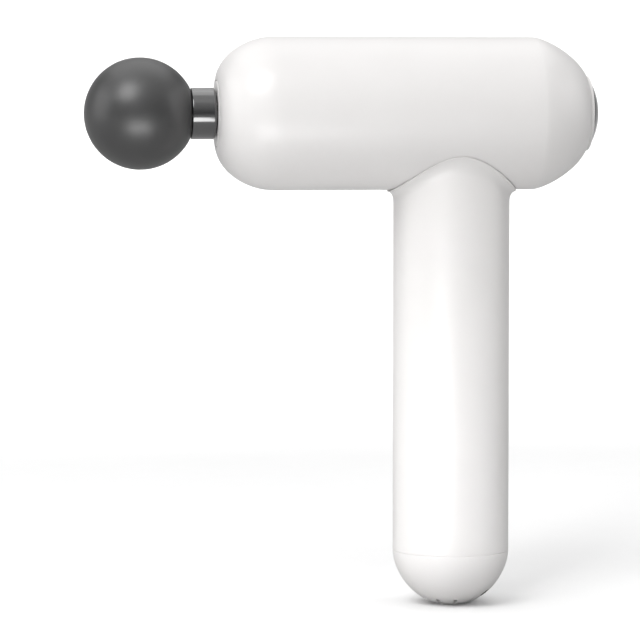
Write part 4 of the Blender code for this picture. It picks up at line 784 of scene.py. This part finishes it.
def build_cap():
    """The rounded end: its spigot fits the handle and its ledge carries a board."""
    outline = cap_outline(72)
    axis_room = 0.5 * MM
    ledge_thick = 1.0 * MM
    chamfer = 0.08 * MM
    rounded = 0.02 * MM
    spigot = HANDLE_BORE - GAP
    inner_wall = spigot - SPIGOT_WALL
    inside = [p for p in inset(outline, HANDLE_WALL) if p[1] < CAP_LEDGE_RADIUS - GAP]
    inside = [(max(p[0], HANDLE_WALL), p[1]) for p in inside[::3] if p[1] > axis_room]
    rim = CAP_HEIGHT - CAP_SEAM
    profile = [(0.0, 0.0)] + outline[:-2]
    profile += [(rim - chamfer, HANDLE_RADIUS), (rim - rounded, HANDLE_RADIUS - rounded),
                (rim, HANDLE_RADIUS - chamfer), (rim, spigot),
                (SPIGOT_TOP, spigot), (SPIGOT_TOP, inner_wall),
                (CAP_LEDGE_HEIGHT, inner_wall), (CAP_LEDGE_HEIGHT, CAP_LEDGE_RADIUS),
                (inside[-1][0] + ledge_thick, CAP_LEDGE_RADIUS)]
    profile += inside[::-1]
    profile.append((inside[0][0], 0.0))
    cap = lathe("bottom_cap_skin", profile, "Z", HANDLE_END, FINE)
    at, facing = port_frame()
    hole = [(at + facing * 5 * MM, at - facing * 6 * MM, JACK_NOSE + GAP)]
    cap = cut(cap, vent_cutter(), cylinders("port_cutter", hole, SMALL))
    own(cap, "housing", "white_shell", WHITE, "bottom_cap")


def build_port():
    """A round charging jack with a centre pin, set square to the dome."""
    at, facing = port_frame()
    shoulder = -(HANDLE_WALL + 0.8 * MM)
    face = -0.15 * MM
    pin = 0.5 * MM
    pin_end = -1.2 * MM
    bore = 1.5 * MM
    depth = JACK_LENGTH - 1.5 * MM
    corners = [(pin_end, 0.0, 0), (pin_end, pin, 0.35 * MM), (-depth, pin, 0),
               (-depth, bore, 0), (face, bore, 0.3 * MM), (face, JACK_NOSE, 0.1 * MM),
               (shoulder, JACK_NOSE, 0), (shoulder, JACK_BODY, 0.15 * MM),
               (-JACK_LENGTH, JACK_BODY, 0.15 * MM), (-JACK_LENGTH, 0.0, 0)]
    port = lathe("charge_port_fine", filleted(corners, closed=False), "Z", HANDLE_END, SMALL)
    turn = facing.to_track_quat("Z", "Y").to_matrix().to_4x4()
    port.data.transform(Matrix.Translation(at) @ turn)
    own(port, "housing", "black_plastic", BLACK, "charge_port")


# ---------------------------------------------------------------- nose, stem and ball

def build_nose_ring():
    """The ring round the piston, let into the head's nose."""
    proud = 0.2 * MM
    running_room = 0.6 * MM
    front = NOSE_X - proud
    rear = NOSE_X + NOSE_RING_DEPTH
    inner = PISTON_RADIUS + running_room
    corners = [(front, inner, 0.25 * MM), (front, NOSE_RING_RADIUS, 0.55 * MM),
               (rear, NOSE_RING_RADIUS, 0.1 * MM), (rear, inner, 0.1 * MM)]
    made = lathe("nose_ring_fine", filleted(corners, steps=6), steps=FINE)
    own(made, "housing", "white_shell", WHITE, "nose_ring")


def build_ball():
    """The ball, with a flat for the collar and a blind hole for the stem's pin."""
    flat = COLLAR_RADIUS
    hole = PLUG_RADIUS + GAP
    hole_end = BALL_SEAT - PIN_DEPTH - GAP
    end = math.acos((BALL_SEAT - BALL_X) / BALL_RADIUS)
    count = 110
    profile = []
    for step in range(count + 1):
        angle = math.pi + (end - math.pi) * step / count
        profile.append((BALL_X + BALL_RADIUS * math.cos(angle), BALL_RADIUS * math.sin(angle)))
    profile[0] = (profile[0][0], 0.0)
    profile[-1] = (BALL_SEAT - 0.12 * MM, profile[-1][1] + 0.02 * MM)
    profile += [(BALL_SEAT, flat - 0.2 * MM), (BALL_SEAT, hole),
                (hole_end, hole), (hole_end, 0.0)]
    own(lathe("ball_fine", profile, steps=FINE), "attachment", "grey_ball", GREY, "ball")


def build_stem():
    """Collar, plug and pin in one turned piece, and the rubber rings in its grooves."""
    groove = 2 * (O_RING_WIRE + GAP)
    groove_places = (3.4 * MM, 9.9 * MM)  # from the collar's rear
    wire_steps = 20
    proud = 0.05 * MM
    ring_radius = PLUG_RADIUS + proud - O_RING_WIRE
    floor = ring_radius - O_RING_WIRE - GAP
    starts = [COLLAR_REAR + place for place in groove_places]
    pin_end = BALL_SEAT - PIN_DEPTH
    plug_end = COLLAR_REAR + PLUG_LENGTH
    corners = [(pin_end, 0.0, 0), (pin_end, PLUG_RADIUS, 0.7 * MM), (COLLAR_FRONT, PLUG_RADIUS, 0),
               (COLLAR_FRONT, COLLAR_RADIUS, 0.55 * MM), (COLLAR_REAR, COLLAR_RADIUS, 1.0 * MM),
               (COLLAR_REAR, PLUG_RADIUS, 0.1 * MM)]
    for start in starts:
        corners += [(start, PLUG_RADIUS, 0.12 * MM), (start, floor, 0.1 * MM),
                    (start + groove, floor, 0.1 * MM), (start + groove, PLUG_RADIUS, 0.12 * MM)]
    corners += [(plug_end, PLUG_RADIUS, 0.8 * MM), (plug_end, 0.0, 0)]
    stem = lathe("stem_fine", filleted(corners, closed=False, steps=7), steps=FINE)
    own(stem, "attachment", "dark_gloss", DARK_GLOSS, "stem")
    for number, start in enumerate(starts, 1):
        section = []
        for step in range(wire_steps):
            angle = 2 * math.pi * step / wire_steps
            section.append((start + groove / 2 + O_RING_WIRE * math.cos(angle),
                            ring_radius + O_RING_WIRE * math.sin(angle)))
        made = lathe(f"stem_o_ring_{number}_fine", section, steps=MEDIUM)
        own(made, "attachment", "rubber", RUBBER, f"stem_o_ring_{number}")


def build_piston():
    """The piston, with the plug's socket in front and a fork for the rod behind."""
    past_metal = 2 * MM
    socket = PLUG_RADIUS + GAP
    socket_end = COLLAR_REAR + PLUG_LENGTH + 2 * GAP
    corners = [(socket_end, 0.0, 0), (socket_end, socket, 0.2 * MM), (PISTON_FACE, socket, 0.35 * MM),
               (PISTON_FACE, PISTON_RADIUS, 0.5 * MM), (PISTON_REAR, PISTON_RADIUS, 0.5 * MM),
               (PISTON_REAR, 0.0, 0)]
    piston = lathe("piston_fine", filleted(corners, closed=False, steps=5), steps=MEDIUM)
    wide = PISTON_RADIUS + past_metal
    slot = boxes("fork_cutter", [((FORK_FRONT, -wide, HEAD_HEIGHT - FORK_HALF),
                                  (PISTON_REAR + past_metal, wide, HEAD_HEIGHT + FORK_HALF))])
    hole = cylinders("wrist_cutter", [((WRIST_X, 0, HEAD_HEIGHT - wide),
                     (WRIST_X, 0, HEAD_HEIGHT + wide), WRIST_PIN + GAP)], SMALL)
    own(cut(piston, slot, hole), "piston", "steel", STEEL, "piston")


# ---------------------------------------------------------------- rear panel

def dome_x(radius):
    """The rear panel's dome at this radius."""
    rise = PANEL_PROUD - PANEL_EDGE
    ball = (PANEL_RADIUS**2 + rise**2) / (2 * rise)
    return REAR_X + PANEL_PROUD - ball + math.sqrt(ball**2 - radius**2)


def build_panel():
    """Bezel, domed lens, light ring and power button, from the outside in."""
    depth = 5.0 * MM
    ledge_width = 2.7 * MM
    ledge_thick = 1 * MM
    outer = REAR_HOLE - GAP
    inner = PANEL_RADIUS + GAP
    rear = REAR_X + BEZEL_PROUD
    front = REAR_X - depth
    floor = front + ledge_thick
    ledge = PANEL_RADIUS - ledge_width
    corners = [(front, ledge, 0), (front, outer, 0), (rear, outer, 0.55 * MM),
               (rear, inner, 0.3 * MM), (floor, inner, 0), (floor, ledge, 0)]
    bezel = lathe("rear_bezel_fine", filleted(corners, steps=6), steps=FINE)
    own(bezel, "housing", "white_shell", WHITE, "rear_bezel")
    lens_inner = LIGHT_OUTER + GAP
    rounded = 0.12 * MM
    lens_back = REAR_X + PANEL_EDGE - 1.4 * MM
    count = 24
    lens = []
    for step in range(count):
        radius = lens_inner + rounded + (PANEL_RADIUS - 0.3 * MM - lens_inner) * step / count
        lens.append((dome_x(radius), radius))
    edge = dome_x(PANEL_RADIUS)
    lens += [(edge + 0.05 * MM, PANEL_RADIUS - rounded), (edge - 0.1 * MM, PANEL_RADIUS),
             (lens_back, PANEL_RADIUS), (lens_back, PANEL_RADIUS - 1.2 * MM),
             (dome_x(lens_inner) - 1.8 * MM, lens_inner), (dome_x(lens_inner) - rounded, lens_inner)]
    own(lathe("panel_lens_fine", lens, steps=FINE), "housing", "dark_gloss", DARK_GLOSS, "panel_lens")
    back = REAR_X + 0.6 * MM
    corners = [(dome_x(LIGHT_INNER), LIGHT_INNER, 0.15 * MM), (dome_x(LIGHT_OUTER), LIGHT_OUTER, 0.15 * MM),
               (back, LIGHT_OUTER, 0), (back, LIGHT_INNER, 0)]
    own(lathe("light_ring_fine", filleted(corners), steps=FINE), "housing", "diffuser", DIFFUSER,
        "light_ring")
    top = dome_x(0.0) - 0.5 * MM
    stem_end = REAR_X - 0.6 * MM
    skirt = REAR_X + 1.4 * MM
    button_stem = 1.6 * MM
    button = [(stem_end, 0.0), (stem_end, button_stem), (skirt, button_stem), (skirt, BUTTON_RADIUS)]
    edge_x = dome_x(BUTTON_RADIUS) - 0.4 * MM
    crown = edge_x + 0.36 * MM
    start = BUTTON_RADIUS - 0.38 * MM
    button += [(edge_x, BUTTON_RADIUS), (edge_x + 0.14 * MM, BUTTON_RADIUS - 0.04 * MM),
               (edge_x + 0.28 * MM, BUTTON_RADIUS - 0.16 * MM), (crown, start)]
    dish = 0.25 * MM
    ridge = BUTTON_RADIUS * 0.6
    rise_steps = 4
    dish_steps = 8
    for step in range(1, rise_steps + 1):
        part = step / rise_steps
        button.append((crown + (top + dish - crown) * part, start + (ridge - start) * part))
    for step in range(1, dish_steps + 1):
        part = 1 - step / dish_steps
        button.append((top + dish * part**2, ridge * part))
    own(lathe("power_button_fine", button, steps=MEDIUM), "button", "black_plastic", BLACK,
        "power_button")


# ---------------------------------------------------------------- ownership

def own(obj, body, slot_name, material, *nodes):
    """Give a fine shape its material and body, and hide the CAD nodes it stands for. The slot name is not
    used.
    """
    obj.data.materials.clear()
    obj.data.materials.append(material)
    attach(obj, body)
    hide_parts(*nodes)
    return obj


NODE_MATERIALS = {
    "stator_core": DARK_STEEL, "magnet_ring": DARK_STEEL,
}
SLOT_MATERIALS = {
    "white_shell": WHITE, "grey_ball": GREY, "dark_gloss": DARK_GLOSS, "black_plastic": BLACK,
    "diffuser": DIFFUSER, "rubber": RUBBER, "nylon": NYLON, "steel": STEEL, "alloy": ALLOY,
    "copper": COPPER, "circuit_board": BOARD, "cell_wrap": CELL_WRAP, "red_wire": RED,
    "yellow_wire": YELLOW, "black_wire": BLACK_WIRE,
}


def dress_cad_nodes():
    """Each CAD node that stays takes the procedural material of its slot."""
    slot_of = {row["node"]: row["material_slot"] for row in frame["record"]["subparts"]}
    for name, obj in frame["nodes"].items():
        chosen = NODE_MATERIALS.get(name, SLOT_MATERIALS[slot_of[name]])
        if len(obj.material_slots) == 0:
            obj.data.materials.append(chosen)
        for slot in obj.material_slots:
            slot.material = chosen


# ---------------------------------------------------------------- stage

def area_light(name, at, target, size, power):
    """A square white light of this power, turned towards its target."""
    data = bpy.data.lights.new(name, "AREA")
    data.energy = power
    data.size = size
    light = bpy.data.objects.new(name, data)
    light.location = at
    light.rotation_mode = "QUATERNION"
    light.rotation_quaternion = (Vector(target) - Vector(at)).to_track_quat("-Z", "Y")
    bpy.context.scene.collection.objects.link(light)
    return light


def build_stage():
    """A pale floor that curves up into a wall behind the gun."""
    half = 4.0
    front = -4.0
    bend = 2.6
    wall = 3.6
    top = 5.0
    steps = 40
    sweep = [(front, 0.0)]
    for step in range(steps + 1):
        angle = math.pi / 2 * step / steps
        sweep.append((wall - bend + bend * math.sin(angle), bend - bend * math.cos(angle)))
    sweep.append((wall, top))
    verts = []
    faces = []
    level = -0.2 * MM  # clear of the flat it stands on
    for y, z in sweep:
        verts += [(-half, y, z + level), (half, y, z + level)]
    for i in range(len(sweep) - 1):
        faces.append((2 * i, 2 * i + 1, 2 * i + 3, 2 * i + 2))
    mesh = bpy.data.meshes.new("backdrop")
    mesh.from_pydata(verts, [], faces)
    mesh.shade_smooth()
    floor = bpy.data.objects.new("backdrop", mesh)
    bpy.context.scene.collection.objects.link(floor)
    made, tree, shader = material_base("pale_paper")
    grain = noise(tree, place_of(tree), 60, 3)
    colour = blend_colours(tree, grain, (0.97, 0.97, 0.97), (0.95, 0.95, 0.95))
    tree.links.new(colour, shader.inputs["Base Color"])
    shader.inputs["Roughness"].default_value = 0.9
    bounce = tree.nodes.new("ShaderNodeBsdfDiffuse")
    bounce.inputs["Color"].default_value = (0.42, 0.42, 0.42, 1)
    rays = tree.nodes.new("ShaderNodeLightPath")
    either = tree.nodes.new("ShaderNodeMixShader")
    tree.links.new(rays.outputs["Is Camera Ray"], either.inputs["Fac"])
    tree.links.new(bounce.outputs["BSDF"], either.inputs[1])
    tree.links.new(shader.outputs["BSDF"], either.inputs[2])
    tree.links.new(either.outputs["Shader"], tree.nodes["Material Output"].inputs["Surface"])
    floor.data.materials.append(made)


def build_light():
    """A soft key from the upper left, weak sides, a card below and a lit backdrop."""
    world = bpy.data.worlds.new("studio")
    world.use_nodes = True
    bpy.context.scene.world = world
    tree = world.node_tree
    rise = tree.nodes.new("ShaderNodeSeparateXYZ")
    tree.links.new(tree.nodes.new("ShaderNodeTexCoord").outputs["Generated"], rise.inputs[0])
    strength = span(tree, rise.outputs["Z"], 0.15, 0.64, 0.12, 0.8)
    tree.links.new(strength, tree.nodes["Background"].inputs["Strength"])
    tree.nodes["Background"].inputs["Color"].default_value = (1, 1, 1, 1)
    middle = (-0.03, 0, 0.13)
    area_light("key", (-0.85, -1.0, 1.45), middle, 1.0, 15.6)
    area_light("left", (-1.5, 0.1, 0.55), middle, 1.1, 5)
    area_light("right", (1.5, -0.2, 0.6), middle, 1.1, 5)
    area_light("top", (-0.12, -0.45, 1.5), middle, 1.0, 0.6)
    area_light("card", (-0.16, -0.3, 0.01), (-0.14, -0.15, 0.5), 0.3, 1.35)
    low = area_light("low", (-0.4, -0.75, 0.12), (0, 0, 0.0), 0.22, 0.055)
    low.data.spread = math.radians(14)
    area_light("overhead", (0, 2.0, 2.8), (0, 2.0, 0), 4.0, 40)
    area_light("back", (0, 1.4, 1.6), (0, 3.4, 0.5), 2.5, 30)


def build_camera():
    target = Vector((-53.0 * MM, 0, 114.4 * MM))
    distance = 1.3
    azimuth = math.radians(-8)
    elevation = math.radians(4)
    back = Vector((math.sin(azimuth) * math.cos(elevation),
                   -math.cos(azimuth) * math.cos(elevation), math.sin(elevation)))
    data = bpy.data.cameras.new("camera")
    data.lens = 183.6
    data.sensor_width = 36
    data.clip_start = 0.05
    data.clip_end = 40
    camera = bpy.data.objects.new("camera", data)
    camera.location = target + back * distance
    camera.rotation_mode = "QUATERNION"
    camera.rotation_quaternion = (-back).to_track_quat("-Z", "Y")
    bpy.context.scene.collection.objects.link(camera)
    bpy.context.scene.camera = camera


bpy.context.scene.view_settings.view_transform = "Standard"
dress_cad_nodes()
build_head()
build_shell_screws()
build_handle()
build_cap()
build_port()
build_nose_ring()
build_ball()
build_stem()
build_piston()
build_panel()
build_stage()
build_light()
build_camera()
